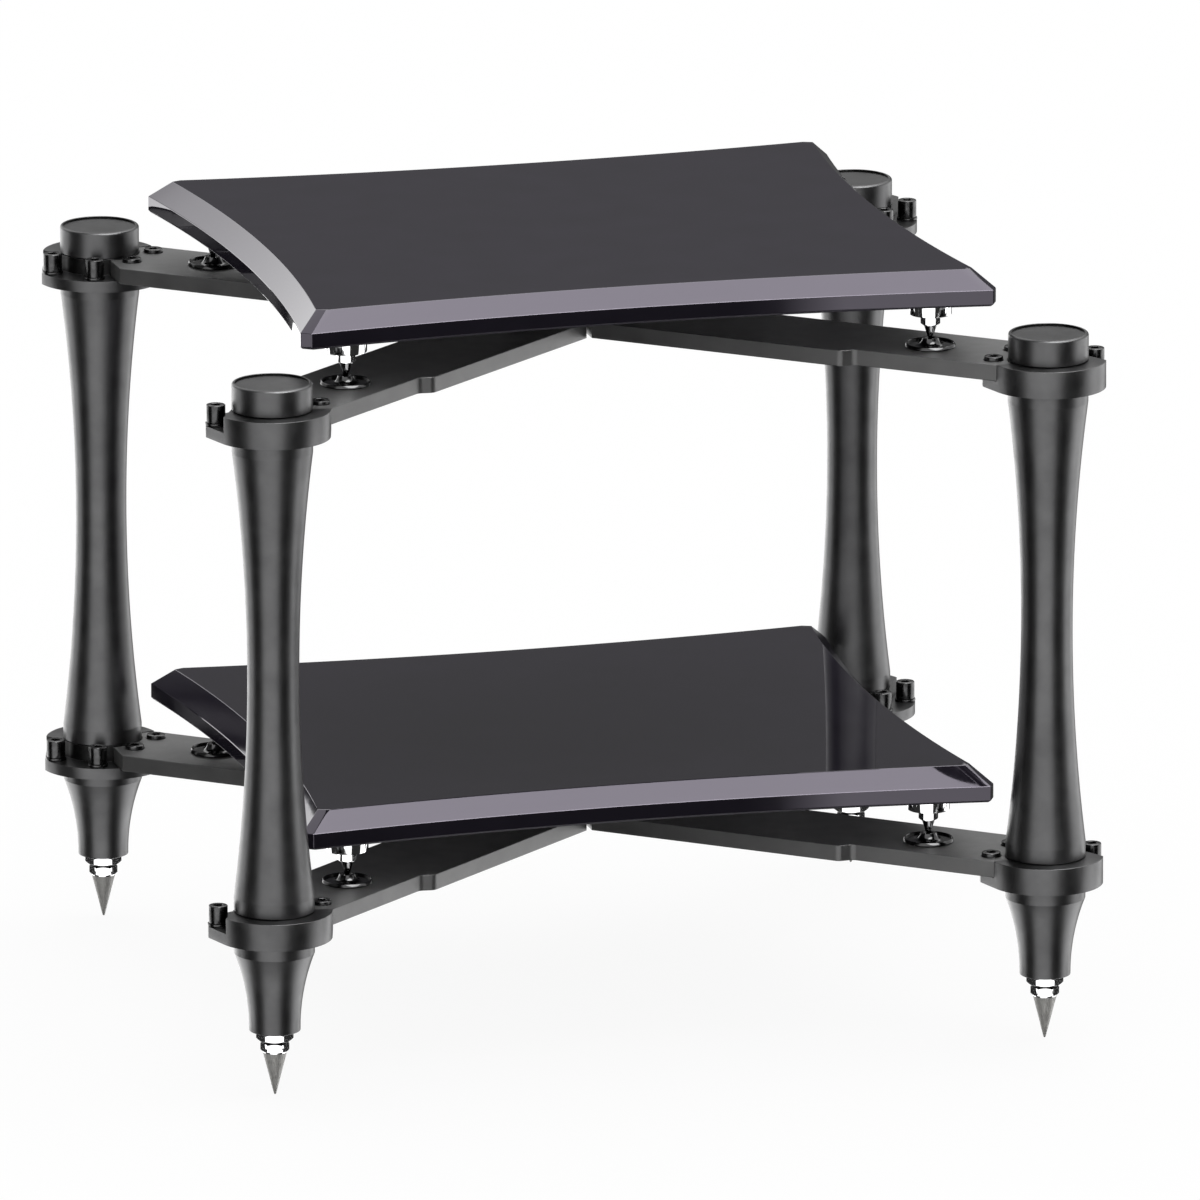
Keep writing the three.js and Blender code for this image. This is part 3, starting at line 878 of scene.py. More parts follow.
class RACK_OT_finishes(Operator):
    """Make the finishes of the rack's pieces"""

    bl_idname = "rack.finishes"
    bl_label = "Finishes"

    def execute(self, context):
        tones = context.scene.rack.finish
        post = (tones.post_dark, tones.post_light)
        post_rough, arm_rough = tones.post_roughness, tones.arm_roughness
        board_rough = tones.board_roughness
        arm = (tones.arm_dark, tones.arm_light)
        screw = (tones.screw_dark, tones.screw_light)
        # Tones of the painted shade in recesses, pockets and gaps
        pocket = (tones.painted_shade_dark, tones.painted_shade_light)
        spike = (tones.spike_dark, tones.spike_light)
        plating = (tones.chrome_dark, tones.chrome_light)
        rod = (tones.rod_dark, tones.rod_light)
        dish = (tones.dish_dark, tones.dish_light)
        board = (tones.board_dark, tones.board_light)
        painted = {"Metallic": tones.arm_metal}
        dull = {"Metallic": tones.spike_metal}
        lacquer = {"IOR": tones.board_index, "Specular Tint": (*tones.board_sheen, 1)}
        plain = {"IOR": tones.board_index}
        drawn = (1.0, 1.0, 0.05)

        # Name, tones, roughness and its spread, scales of tone and relief, depth of the relief
        make_finish("post_black", post, post_rough, 0.03, 45, 2600, 0.00006)
        make_finish("arm_black", arm, arm_rough, 0.03, 38, 2600, 0.00006, constants=painted)
        make_finish("screw_black", screw, 0.24, 0.05, 300, 3200, 0.00005)
        # Painted shade: a near-black finish that stands in for the shade in recesses, pockets and
        # gaps
        make_finish("painted_shade_black", pocket, 0.4, 0.05, 260, 3000, 0.00005)
        make_finish("spike_steel", spike, 0.6, 0.05, 260, 2400, 0.00008, constants=dull)
        make_finish("chrome", plating, 0.07, 0.02, 180, 900, 0.00001)
        make_finish("rod_steel", rod, 0.3, 0.05, 120, 1800, 0.00004, stretch=drawn)
        make_finish("dish_black", dish, 0.14, 0.03, 220, 1200, 0.00001)
        make_finish("board_black", board, board_rough, 0.012, 30, 14, 0.00003, POLISH, lacquer)
        make_finish("board_underside", board, 0.6, 0.05, 60, 1500, 0.00004, POLISH, plain)
        return {"FINISHED"}


# Posts
def make_rounds(name, nodes, post, smooth_degrees, **shape):
    """Waisted rounds in the place of their nodes, with broken edges."""
    places = [post_place(node.split("_", 1)[1], base_of(node)) for node in nodes]
    piece = run_tree(name, built_tree("Waisted Round", waisted_round_tree), places, {
        "Height": height_of(nodes[0]),
        "End Radius": post.end_radius,
        "Upper Band": post.band,
        "Bore Radius": post.rod_bore,
        "Segments": post.segments,
        "Finish": finish_of("post_black"),
        **{label.replace("_", " ").title(): value for label, value in shape.items()},
    })
    smooth(break_edges(piece, post.edge, degrees=60), smooth_degrees)
    settle(piece, "frame", nodes)


class RACK_OT_columns(Operator):
    """Make the columns: waisted rounds with straight bands at both ends"""

    bl_idname = "rack.columns"
    bl_label = "Columns"

    def execute(self, context):
        post = context.scene.rack.post
        nodes = [f"column_{corner}" for corner in CORNERS]
        make_rounds(
            "columns", nodes, post,
            smooth_degrees=4,
            waist_radius=post.column_waist,
            waist_height=height_of(nodes[0]) / 2,
            lower_band=post.band,
            hollow_below=True,
            rows=post.rows,
        )
        return {"FINISHED"}


class RACK_OT_feet(Operator):
    """Make the feet: waisted rounds that flare up to their collar"""

    bl_idname = "rack.feet"
    bl_label = "Feet"

    def execute(self, context):
        post = context.scene.rack.post
        make_rounds(
            "feet", [f"foot_{corner}" for corner in CORNERS], post,
            smooth_degrees=6,
            waist_radius=post.foot_waist,
            waist_height=post.foot_toe,
            lower_band=post.foot_toe,
            hollow_below=False,
            rows=post.rows // 3,
        )
        return {"FINISHED"}


class RACK_OT_caps(Operator):
    """Make the caps: turned discs with a raised rim round a shallow recess"""

    bl_idname = "rack.caps"
    bl_label = "Caps"

    def execute(self, context):
        post = context.scene.rack.post
        nodes = [f"cap_{corner}" for corner in CORNERS]
        places = [post_place(corner, base_of(node)) for corner, node in zip(CORNERS, nodes)]
        height = height_of(nodes[0])
        recess = height - post.cap_recess
        inner = post.end_radius - post.cap_edge - post.cap_rim
        half_rim = post.cap_rim / 2
        pattern = object_from("cap_pattern", lathe([
            (0, 0),
            (post.end_radius - post.edge, 0),
            (post.end_radius, post.edge),
            *rounded_top(post.end_radius, height, post.cap_edge, steps=5),
            (inner + half_rim, height),
            (inner, height - half_rim),
            (inner, recess),
            (0, recess),
        ], post.segments))
        piece = copy_on("caps", pattern, places, "post_black")
        bpy.data.objects.remove(pattern)
        settle(smooth(piece), "frame", nodes)
        # Painted shade: the inner wall of each cap's recess gets the near-black finish
        floor = places[0].z + recess + SLACK
        inside = inner + 2 * SLACK
        add_finish(
            piece,
            "painted_shade_black",
            lambda middle, normal: middle.z > floor and abs(normal.z) < UPRIGHT
            and min((middle.xy - place.xy).length for place in places) < inside,
        )
        return {"FINISHED"}


# Collars
def collar_outline(sizes):
    lobe_centre = polar(sizes.lobe_shift, sizes.lobe_turn)
    lobe_start = lobe_centre + polar(sizes.lobe_radius, sizes.lobe_start)
    lobe_end = lobe_centre + polar(sizes.lobe_radius, sizes.lobe_end)
    round_start = heading(lobe_end) + math.acos(sizes.radius / lobe_end.length)
    round_end = heading(lobe_start) - math.acos(sizes.radius / lobe_start.length)
    return [
        *arc(Vector((0, 0)), sizes.radius, round_start, round_end),
        *arc(lobe_centre, sizes.lobe_radius, sizes.lobe_start, sizes.lobe_end),
    ]


def sector(radius, start, end):
    """A slice of a disc, coarse because its round side stands clear of what it cuts."""
    return [Vector((0, 0)), *arc(Vector((0, 0)), radius, start, end, COARSE_STEP)]


def screw_pocket_outline(sizes):
    """Ground plan of the low part between the arm and the straight wall beside the hub."""
    wall_start = polar(sizes.wall_offset, sizes.wall_turn)
    wall_end = wall_start + polar(2 * sizes.lobe_radius, sizes.wall_turn + math.pi / 2)
    start = sizes.chamfer_turn - sizes.pocket_overlap
    return [*sector(wall_end.length, start, heading(wall_end)), wall_start]


def is_pocket_face(corner, axis, middle, normal):
    """Whether an upright face of a collar belongs to the hub or wall beside the screw pocket."""
    rack = bpy.context.scene.rack
    offset = middle.xy - axis
    if offset.length < max(rack.post.end_radius, rack.collar.wall_offset) + 2 * SLACK:
        return True
    outward = polar(1.0, corner_turn(corner) + corner_side(corner) * rack.collar.wall_turn)
    is_near = abs(offset.dot(outward) - rack.collar.wall_offset) < 6 * SLACK
    return is_near and abs(normal.xy.dot(outward)) > SAME_WAY


class RACK_OT_collars(Operator):
    """Make the collars: lobed clamps with a ledge for the arm and a low plate for two screws"""

    bl_idname = "rack.collars"
    bl_label = "Collars"

    def execute(self, context):
        rack = context.scene.rack
        sizes, post = rack.collar, rack.post
        height = base_of("column_front_left") - rack.arm.fit - base_of("collar_lower_front_left")
        above = height + OVERSHOOT
        hub_base = 0.001
        arm_seat = sector(2 * sizes.lobe_radius, sizes.butt_turn, sizes.chamfer_turn)
        hub = [(0, hub_base), (post.end_radius, hub_base), (post.end_radius, height), (0, height)]
        pattern = carve(
            "collar_pattern",
            prism(collar_outline(sizes), 0, height),
            cuts=[
                prism(screw_pocket_outline(sizes), sizes.plate_height, above),
                prism(arm_seat, sizes.ledge_height, above),
            ],
            joins=[lathe(hub, post.segments)],
        )
        outside = sizes.radius - 5 * SLACK
        round_chosen_edges(
            pattern, sizes.top_edge, sizes.edge,
            lambda *ends: all(end.z > height - SLACK and end.xy.length > outside for end in ends),
        )
        smooth(pattern, degrees=20)
        for level in LEVELS:
            for corner in CORNERS:
                node = f"collar_{level}_{corner}"
                piece = corner_copy(f"clamp_{level}_{corner}", pattern, corner, base_of(node))
                settle(piece, "frame", [node], "post_black")
                # Painted shade: the hub and the straight wall above the low plate get the
                # near-black finish
                low, high = base_of(node) + sizes.plate_height, base_of(node) + height - sizes.edge
                axis = post_place(corner).xy
                add_finish(
                    piece,
                    "painted_shade_black",
                    lambda middle, normal: low < middle.z < high and abs(normal.z) < UPRIGHT
                    and is_pocket_face(corner, axis, middle, normal),
                )
        bpy.data.objects.remove(pattern)
        return {"FINISHED"}


# Arms
def beside_ray(turn, offset, across):
    along = (across - offset * math.cos(turn)) / math.sin(turn)
    return polar(along, turn) + polar(offset, turn + math.pi / 2)


def beside_ray_on_circle(turn, offset, radius):
    return polar(math.sqrt(radius**2 - offset**2), turn) + polar(offset, turn + math.pi / 2)


def fillet(before, corner, after, radius, steps=6):
    """Points of a rounded corner between two straight lines."""
    towards = (before - corner).normalized()
    onwards = (after - corner).normalized()
    half = math.acos(max(-1.0, min(1.0, towards.dot(onwards)))) / 2
    reach = radius / math.tan(half)
    centre = corner + (towards + onwards).normalized() * radius / math.sin(half)
    start = corner + towards * reach - centre
    end = corner + onwards * reach - centre
    sweep = math.atan2(start.x * end.y - start.y * end.x, start.dot(end))
    first = math.atan2(start.y, start.x)
    return [centre + polar(radius, first + sweep * i / steps) for i in range(steps + 1)]


def arm_outline(sizes, collar, hub_radius):
    arm_turn = math.atan2(HALF_SPAN.y, HALF_SPAN.x)
    gap = sizes.mitre_gap / 2
    wide, narrow = sizes.half_width, sizes.narrow_half
    hollow = hub_radius + sizes.fit
    chamfer_end = beside_ray_on_circle(collar.chamfer_turn, -sizes.fit, hollow)
    butt_end = beside_ray_on_circle(collar.butt_turn, sizes.fit, hollow)
    middle = Vector((HALF_SPAN.x - gap, HALF_SPAN.y - gap))
    middle.rotate(Matrix.Rotation(-arm_turn, 2))
    butt_corner = beside_ray(collar.butt_turn, sizes.fit, -narrow)
    step_start = Vector((sizes.step_start, -narrow))
    step_end = Vector((sizes.step_end, -wide))
    sine, cosine = math.sin(arm_turn), math.cos(arm_turn)
    front_mitre = Vector(((HALF_SPAN.x - gap - wide * sine) / cosine, -wide))
    side_mitre = Vector(((HALF_SPAN.y - gap - wide * cosine) / sine, wide))
    chamfer_corner = beside_ray(collar.chamfer_turn, -sizes.fit, wide)
    start = math.atan2(chamfer_end.y, chamfer_end.x)
    end = math.atan2(butt_end.y, butt_end.x)
    return [
        butt_corner,
        *fillet(butt_corner, step_start, step_end, sizes.step_fillet),
        *fillet(step_start, step_end, front_mitre, sizes.step_fillet),
        front_mitre,
        middle,
        side_mitre,
        chamfer_corner,
        *arc(Vector((0, 0)), hollow, start, end),
    ]


class RACK_OT_arms(Operator):
    """Make the arms: wide flat bars that run from each collar to the mitred middle"""

    bl_idname = "rack.arms"
    bl_label = "Arms"

    def execute(self, context):
        rack = context.scene.rack
        sizes, screw = rack.arm, rack.screw
        thickness = base_of("dish_lower_front_left") - base_of("arm_lower_front_left") - sizes.fit
        seat = thickness - sizes.counterbore
        radius, above = screw.head_radius + screw.clearance, thickness + OVERSHOOT
        pockets = []
        for spread in (-sizes.screw_spread, sizes.screw_spread):
            pocket = lathe([(0, seat), (radius, seat), (radius, above), (0, above)], HOLE_STEPS)
            bmesh.ops.translate(pocket, verts=pocket.verts, vec=(sizes.screw_reach, spread, 0))
            pockets.append(pocket)
        outline = arm_outline(sizes, rack.collar, rack.post.end_radius)
        pattern = carve("arm_pattern", prism(outline, 0, thickness), cuts=pockets)
        smooth(break_edges(pattern, sizes.edge), degrees=20)
        for level in LEVELS:
            for corner in CORNERS:
                node = f"arm_{level}_{corner}"
                piece = corner_copy(f"bar_{level}_{corner}", pattern, corner, base_of(node))
                settle(piece, "frame", [node], "arm_black")
        bpy.data.objects.remove(pattern)
        return {"FINISHED"}


# Screws
# Rounding of a head against its radius, of its socket against that, and of a washer against its
# height
EDGE_SHARE = 0.1
SOCKET_EDGE_SHARE = 0.35
WASHER_EDGE_SHARE = 0.2


def screw_pattern(name, radius, height, across, depth, washer=None):
    """Cap head screw with a hexagon socket, standing on its washer if it has one."""
    washer_radius, base = washer or (0.0, 0.0)
    top, edge = base + height, radius * EDGE_SHARE
    head = lathe(rounded_bar(radius, base, top, edge), SCREW_STEPS)
    piece = carve(name, head, cuts=[prism(hexagon(across), top - depth, top + OVERSHOOT)])
    weld(break_edges(piece, edge * SOCKET_EDGE_SHARE, segments=1, degrees=40))
    if washer:
        rounding = base * WASHER_EDGE_SHARE
        ring = lathe(rounded_bar(washer_radius, 0, base, rounding, steps=2), SCREW_STEPS)
        ring.from_mesh(piece.data)
        ring.to_mesh(piece.data)
        ring.free()
    return piece


class RACK_OT_screws(Operator):
    """Make the screws: in the collar plates, in the arm ends and in the hub plates"""

    bl_idname = "rack.screws"
    bl_label = "Screws"

    def execute(self, context):
        rack = context.scene.rack
        sizes, collar, arm, hub = rack.screw, rack.collar, rack.arm, rack.hub
        socket = (sizes.socket_across, sizes.socket_depth)
        small_socket = (size * sizes.small_share for size in socket)
        collar_places, arm_places, hub_places = [], [], []
        reach = HALF_SPAN.length - hub.screw_reach
        for level in LEVELS:
            for corner in CORNERS:
                plate = base_of(f"collar_{level}_{corner}") + collar.plate_height
                for turn in (collar.first_screw, collar.second_screw):
                    place = polar(collar.screw_radius, turn)
                    collar_places.append(in_rack(corner, place.x, place.y, plate))
                seat = base_of(f"dish_{level}_{corner}") - arm.fit - arm.counterbore
                for spread in (-arm.screw_spread, arm.screw_spread):
                    arm_places.append(in_rack(corner, arm.screw_reach, spread, seat))
                hub_top = base_of(f"hub_plate_{level}") + hub.thickness
                for spread in (-hub.screw_spread, hub.screw_spread):
                    hub_places.append(in_rack(corner, reach, spread, hub_top))
        washer = (sizes.washer_radius, sizes.washer_height)
        tall = screw_pattern("tall_screw", sizes.head_radius, sizes.tall_height, *socket, washer)
        sunk = screw_pattern("sunk_screw", sizes.head_radius, sizes.head_height, *socket)
        small = screw_pattern("small_screw", sizes.small_radius, sizes.small_height, *small_socket)
        for name, pattern, places in (
            ("collar_screws", tall, collar_places),
            ("arm_screws", sunk, arm_places),
            ("hub_screws", small, hub_places),
        ):
            spread = FULL_TURN / 6
            piece = copy_on(name, pattern, places, "screw_black", spread=spread, seed=sizes.seed)
            bpy.data.objects.remove(pattern)
            settle(smooth(piece), "frame")
        return {"FINISHED"}


class RACK_OT_hub_plates(Operator):
    """Make the round plates that join the four arms in the middle"""

    bl_idname = "rack.hub_plates"
    bl_label = "Hub Plates"

    def execute(self, context):
        sizes = context.scene.rack.hub
        for level in LEVELS:
            node = f"hub_plate_{level}"
            shape = lathe(rounded_bar(sizes.radius, 0, sizes.thickness, sizes.edge))
            bmesh.ops.translate(shape, verts=shape.verts, vec=(0, 0, base_of(node)))
            piece = smooth(object_from(f"hub_disc_{level}", shape))
            settle(piece, "frame", [node], "post_black")
        return {"FINISHED"}


# Hexagons
def heights_of(piece):
    heights = [corner.co.z for corner in piece.data.vertices]
    return min(heights), max(heights)


def combine(piece, name, solid, operation="UNION"):
    """Joins the solid to the piece, takes it away or keeps what both share."""
    other = object_from(name, solid)
    heights = (*heights_of(piece), *heights_of(other))
    add_boolean(piece, other, operation)
    apply_modifiers(piece)
    bpy.data.objects.remove(other)
    low, high = heights_of(piece)
    if operation == "UNION" and max(abs(low - min(heights)), abs(high - max(heights))) > SLACK:
        raise RuntimeError(f"{name} didn't join: the piece runs from {low:.4f} to {high:.4f}")


# A hexagon's shoulder and the start of its turned corners against its flats, and the slope of
# the corners
SHOULDER_SHARE = 0.93
CHAMFER_SHARE = 0.97
CHAMFER_SLOPE = 0.6


def chamfered_hexagon(name, across, low, high, shoulder, bore=None):
    """Hexagon with a round shoulder at both ends and its corners turned down, as on a nut."""
    wide = corner_radius(across) + SLACK
    start, neck = across / 2 * CHAMFER_SHARE, across / 2 * SHOULDER_SHARE
    bottom, top = low + shoulder, high - shoulder
    cut = (wide - start) * CHAMFER_SLOPE
    body = object_from(name, prism(hexagon(across), low, high))
    combine(body, f"{name}_turned", lathe([
        (0, low), (neck, low), (neck, bottom), (start, bottom), (wide, bottom + cut),
        (wide, top - cut), (start, top), (neck, top), (neck, high), (0, high),
    ]), "INTERSECT")
    if bore:
        below, above = low - OVERSHOOT, high + OVERSHOOT
        hole = lathe([(0, below), (bore, below), (bore, above), (0, above)], HOLE_STEPS)
        combine(body, f"{name}_bore", hole, "DIFFERENCE")
    return body


# Isolators
def dish_profile(sizes):
    """A rim that leans in outside, a basin and a boss that rises steeply to its dimple."""
    edge, rim = sizes.dish_edge, sizes.rim_height
    basin, rise = sizes.basin_height, sizes.dish_height
    inner = sizes.dish_radius - sizes.rim_width
    outer = sizes.dish_radius - sizes.rim_lean
    profile = [
        (0, 0),
        (sizes.dish_radius - edge, 0),
        (sizes.dish_radius, edge),
        (outer, rim - edge),
        (outer - edge, rim),
        (inner + edge, rim),
        (inner, rim - edge),
        (inner, basin),
    ]
    for i in range(1, sizes.boss_steps + 1):
        share = math.sqrt(i / sizes.boss_steps)
        radius = inner + (sizes.boss_radius - inner) * share
        profile.append((radius, basin + (rise - basin) * share**sizes.boss_curve))
    return profile + [
        (sizes.boss_radius - 3 * SLACK, rise),
        (sizes.dimple_radius, rise),
        (sizes.dimple_floor_radius, sizes.dimple_floor),
        (0, sizes.dimple_floor),
    ]


class RACK_OT_dishes(Operator):
    """Make the isolator dishes that stand on the arms"""

    bl_idname = "rack.dishes"
    bl_label = "Dishes"

    def execute(self, context):
        sizes = context.scene.rack.isolator
        pattern = object_from("dish_pattern", lathe(dish_profile(sizes), DISH_STEPS))
        nodes = [f"dish_{level}_{corner}" for level in LEVELS for corner in CORNERS]
        piece = copy_on("isolator_dishes", pattern, map(seat_of, nodes), "dish_black")
        bpy.data.objects.remove(pattern)
        settle(smooth(piece, degrees=35), "frame", nodes)
        return {"FINISHED"}


def spike_tip(sizes):
    """Points of a slightly blunt tip."""
    return [(0, 0), (sizes.tip_flat, SLACK), (sizes.tip_radius, sizes.tip_height)]


def board_spike_profile(sizes):
    top = sizes.flange_rise + sizes.flange_height
    flange = rounded_bar(sizes.flange_radius, sizes.flange_rise, top, sizes.flange_edge)[1:]
    return [
        *spike_tip(sizes),
        (sizes.cone_radius, sizes.cone_length),
        (sizes.neck_radius, sizes.hex_rise + sizes.flange_edge),
        (sizes.neck_radius, sizes.flange_rise),
        *flange,
    ]


class RACK_OT_board_spikes(Operator):
    """Make the plated spikes under each board, with their hexagons and flanges"""

    bl_idname = "rack.board_spikes"
    bl_label = "Board Spikes"

    def execute(self, context):
        sizes = context.scene.rack.isolator
        name = "board_spike_pattern"
        low, high = sizes.hex_rise, sizes.flange_rise + sizes.flange_height / 2
        pattern = chamfered_hexagon(name, sizes.hex_across, low, high, sizes.shoulder)
        break_edges(pattern, sizes.hex_edge, segments=1, degrees=20)
        combine(pattern, "board_spike_turned", lathe(board_spike_profile(sizes), CONE_STEPS))
        weld(pattern)
        for level in LEVELS:
            nodes = [f"board_spike_{level}_{corner}" for corner in CORNERS]
            name = f"board_cones_{level}"
            piece = copy_on(name, pattern, map(seat_of, nodes), "chrome", turn=sizes.hex_turn)
            settle(smooth(piece), f"shelf_{level}", nodes)
        bpy.data.objects.remove(pattern)
        return {"FINISHED"}


# Shelf boards
def hollow_side(start, end, depth, steps):
    """Points from one corner to the next along an arc that curves towards the left of the line."""
    along = end - start
    half = along.length / 2
    along.normalize()
    inward = Vector((-along.y, along.x))
    radius = (half**2 + depth**2) / (2 * depth)
    points = []
    for i in range(steps + 1):
        run = half * (2 * i / steps - 1)
        dip = math.sqrt(max(0.0, radius**2 - run**2)) - (radius - depth)
        points.append(start + along * (half + run) + inward * dip)
    return points


def board_ring(half, facet, front_right, hollows, steps):
    """Outline from the half sizes, the cut of three corners and the cut of the front right one."""
    front, side = hollows
    short, right = half - facet, half - front_right
    return [
        *hollow_side(Vector((half.x, -right.y)), Vector((half.x, short.y)), side, steps),
        *hollow_side(Vector((short.x, half.y)), Vector((-short.x, half.y)), front, steps),
        *hollow_side(Vector((-half.x, short.y)), Vector((-half.x, -short.y)), side, steps),
        *hollow_side(Vector((-short.x, -half.y)), Vector((right.x, -half.y)), front, steps),
    ]


class RACK_OT_boards(Operator):
    """Make the shelf boards: hollowed sides, cut corners and a wide bevel round the top"""

    bl_idname = "rack.boards"
    bl_label = "Boards"

    def execute(self, context):
        sizes = context.scene.rack.board
        half = Vector((sizes.half_x, sizes.half_y))
        outline = (
            Vector((sizes.facet_x, sizes.facet_y)),
            Vector((sizes.right_facet_x, sizes.right_facet_y)),
            (sizes.hollow_front, sizes.hollow_side),
            sizes.side_steps,
        )
        under = board_ring(half - Vector((sizes.undercut, sizes.undercut)), *outline)
        edge = board_ring(half, *outline)
        top = board_ring(
            half - Vector((sizes.bevel_x, sizes.bevel_y)),
            Vector((sizes.bevel_facet_x, sizes.bevel_facet_y)),
            Vector((sizes.bevel_right_x, sizes.bevel_right_y)),
            (sizes.bevel_hollow_front, sizes.bevel_hollow_side),
            sizes.side_steps,
        )
        for level in LEVELS:
            node = f"shelf_board_{level}"
            base = base_of(node)
            rises = (0, sizes.undercut, sizes.edge_height, height_of(node))
            heights = [base + rise for rise in rises]
            piece = object_from(f"board_{level}", loft([under, edge, edge, top], heights))
            smooth(break_edges(piece, sizes.edge, degrees=20), degrees=12)
            settle(piece, f"shelf_{level}", [node], "board_black")
            add_finish(piece, "board_underside", lambda middle, normal: normal.z < UNDERSIDE)
        return {"FINISHED"}


# Feet on the floor
class RACK_OT_lock_nuts(Operator):
    """Make the plated lock nuts under the feet"""

    bl_idname = "rack.lock_nuts"
    bl_label = "Lock Nuts"

    def execute(self, context):
        rack = context.scene.rack
        sizes, step = rack.footing, rack.footing.shoulder
        height = sizes.nut_height
        bore = sizes.shank_radius + rack.screw.clearance
        nodes = [f"lock_nut_{corner}" for corner in CORNERS]
        pattern = chamfered_hexagon("nut_pattern", sizes.nut_across, 0, height, step, bore)
        weld(break_edges(pattern, sizes.nut_edge, segments=1, degrees=20))
        piece = copy_on("lock_nuts", pattern, map(seat_of, nodes), "chrome", turn=sizes.hex_turn)
        bpy.data.objects.remove(pattern)
        settle(smooth(piece), "frame", nodes)
        # Painted shade: the nut's downward faces and its low shoulder get the near-black finish,
        # for the shaded gap over the spike's hexagon
        step_top = base_of(nodes[0]) + step + SLACK
        add_finish(
            piece,
            "painted_shade_black",
            lambda middle, normal: normal.z < -UPRIGHT or middle.z < step_top,
        )
        return {"FINISHED"}


# Depth of a groove and half the width of the land on its crest, both against the pitch
GROOVE_DEPTH = 0.45
HALF_LAND = 0.08


def thread_profile(radius, low, high, pitch):
    """Stack of grooves that stands for the thread of a shank, with a narrow land on each crest."""
    root = radius - pitch * GROOVE_DEPTH
    points = [(root, low)]
    height = low
    while height + pitch < high:
        points.append((radius, height + pitch * (0.5 - HALF_LAND)))
        points.append((radius, height + pitch * (0.5 + HALF_LAND)))
        points.append((root, height + pitch))
        height += pitch
    return [*points, (root, high)]


class RACK_OT_floor_spikes(Operator):
    """Make the floor spikes: cone, hexagon and threaded shank"""

    bl_idname = "rack.floor_spikes"
    bl_label = "Floor Spikes"

    def execute(self, context):
        sizes = context.scene.rack.footing
        low, step = sizes.cone_height, sizes.shoulder
        high = low + sizes.hex_height
        middle = low + sizes.hex_height / 2
        shank_top = high + sizes.shank_length
        pattern = chamfered_hexagon("floor_spike_pattern", sizes.hex_across, low, high, step)
        break_edges(pattern, sizes.hex_edge, segments=1, degrees=20)
        radius = sizes.cone_radius
        cone = [*spike_tip(sizes), (radius, low), (radius, middle), (0, middle)]
        threads = thread_profile(sizes.shank_radius, high, shank_top, sizes.thread_pitch)
        shank = [(0, middle), (sizes.root_radius, middle), *threads, (0, shank_top)]
        combine(pattern, "spike_cone", lathe(cone, CONE_STEPS))
        combine(pattern, "spike_shank", lathe(shank, SCREW_STEPS))
        weld(pattern)
        for corner in CORNERS:
            node = f"floor_spike_{corner}"
            seat = seat_of(node)
            piece = copy_on(f"spike_{corner}", pattern, [seat], "spike_steel", turn=sizes.hex_turn)
            settle(smooth(piece), node, [node])
            plated = seat.z + low - SLACK
            step_low, step_high = seat.z + high - step - SLACK, seat.z + high + SLACK
            add_finish(piece, "chrome", lambda centre, normal: centre.z > plated)
            add_finish(
                # Painted shade: the top shoulder of the hexagon and its sloping and flat faces
                # below it get the near-black finish, for the shaded gap under the nut
                piece,
                "painted_shade_black",
                lambda centre, normal: step_low < centre.z < step_high
                or plated < centre.z < step_low and abs(normal.z) > UPRIGHT,
            )
        bpy.data.objects.remove(pattern)
        return {"FINISHED"}


class RACK_OT_tie_rods(Operator):
    """Give the tie rods, which stay as they are in the frame, their steel finish"""

    bl_idname = "rack.tie_rods"
    bl_label = "Tie Rods"

    def execute(self, context):
        for corner in CORNERS:
            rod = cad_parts[f"tie_rod_{corner}"]
            rod.data.materials.clear()
            rod.data.materials.append(finish_of("rod_steel"))
        return {"FINISHED"}


# Stage
def grey(level):
    return (level, level, level, 1)


def studio_ramp(tree, share, stops):
    """Brightness by direction round the rack; each stop is an angle in degrees and a level."""
    ramp = add_node(tree, "ShaderNodeValToRGB", {"Fac": share})
    band = ramp.color_ramp
    band.interpolation = "LINEAR"
    while len(band.elements) > 1:
        band.elements.remove(band.elements[-1])
    for i, (degrees, level) in enumerate(stops):
        position = degrees / 360 + 0.5
        element = band.elements[0] if i == 0 else band.elements.new(position)
        element.position = position
        element.color = grey(level)
    return ramp.outputs[0]


def ease(tree, value, start, end):
    limits = {"Value": value, "From Min": start, "From Max": end}
    return result_of(tree, "ShaderNodeMapRange", limits, interpolation_type="SMOOTHSTEP")


def over(tree, rise, start, end):
    """Zero below the first height over the horizon and one above the second, in degrees."""
    return ease(tree, rise, math.radians(start), math.radians(end))


def round_patch(tree, direction, place, reach):
    """One inside a round patch of the studio, zero outside; its place is a turn and a rise."""
    turn, rise = (math.radians(degrees) for degrees in place)
    centre = (*(math.cos(rise) * polar(1.0, turn)), math.sin(rise))
    both = {0: direction, 1: centre}
    near = add_node(tree, "ShaderNodeVectorMath", both, operation="DOT_PRODUCT")
    outer, inner = (math.cos(math.radians(reach + soft)) for soft in (PATCH_EDGE, -PATCH_EDGE))
    return ease(tree, near.outputs["Value"], outer, inner)


# Brightness of the studio by angle round the rack, seen from its middle: 0 is the camera, 90 its
# right. Below the horizon: a bright panel in front, dark on both sides, bright floor behind
LOW_STOPS = (
    (-180, 0.03), (-173, 0.03), (-169, 0.9), (-116, 1.05), (-100, 0.8), (-97, 0.01),
    (-48, 0.01), (-44, 0.74), (22.5, 0.74), (25.5, 0.01), (77, 0.01), (82, 0.8),
    (100, 1.1), (118, 1.3), (140, 0.8), (148, 0.5), (153, 0.03), (180, 0.03),
)
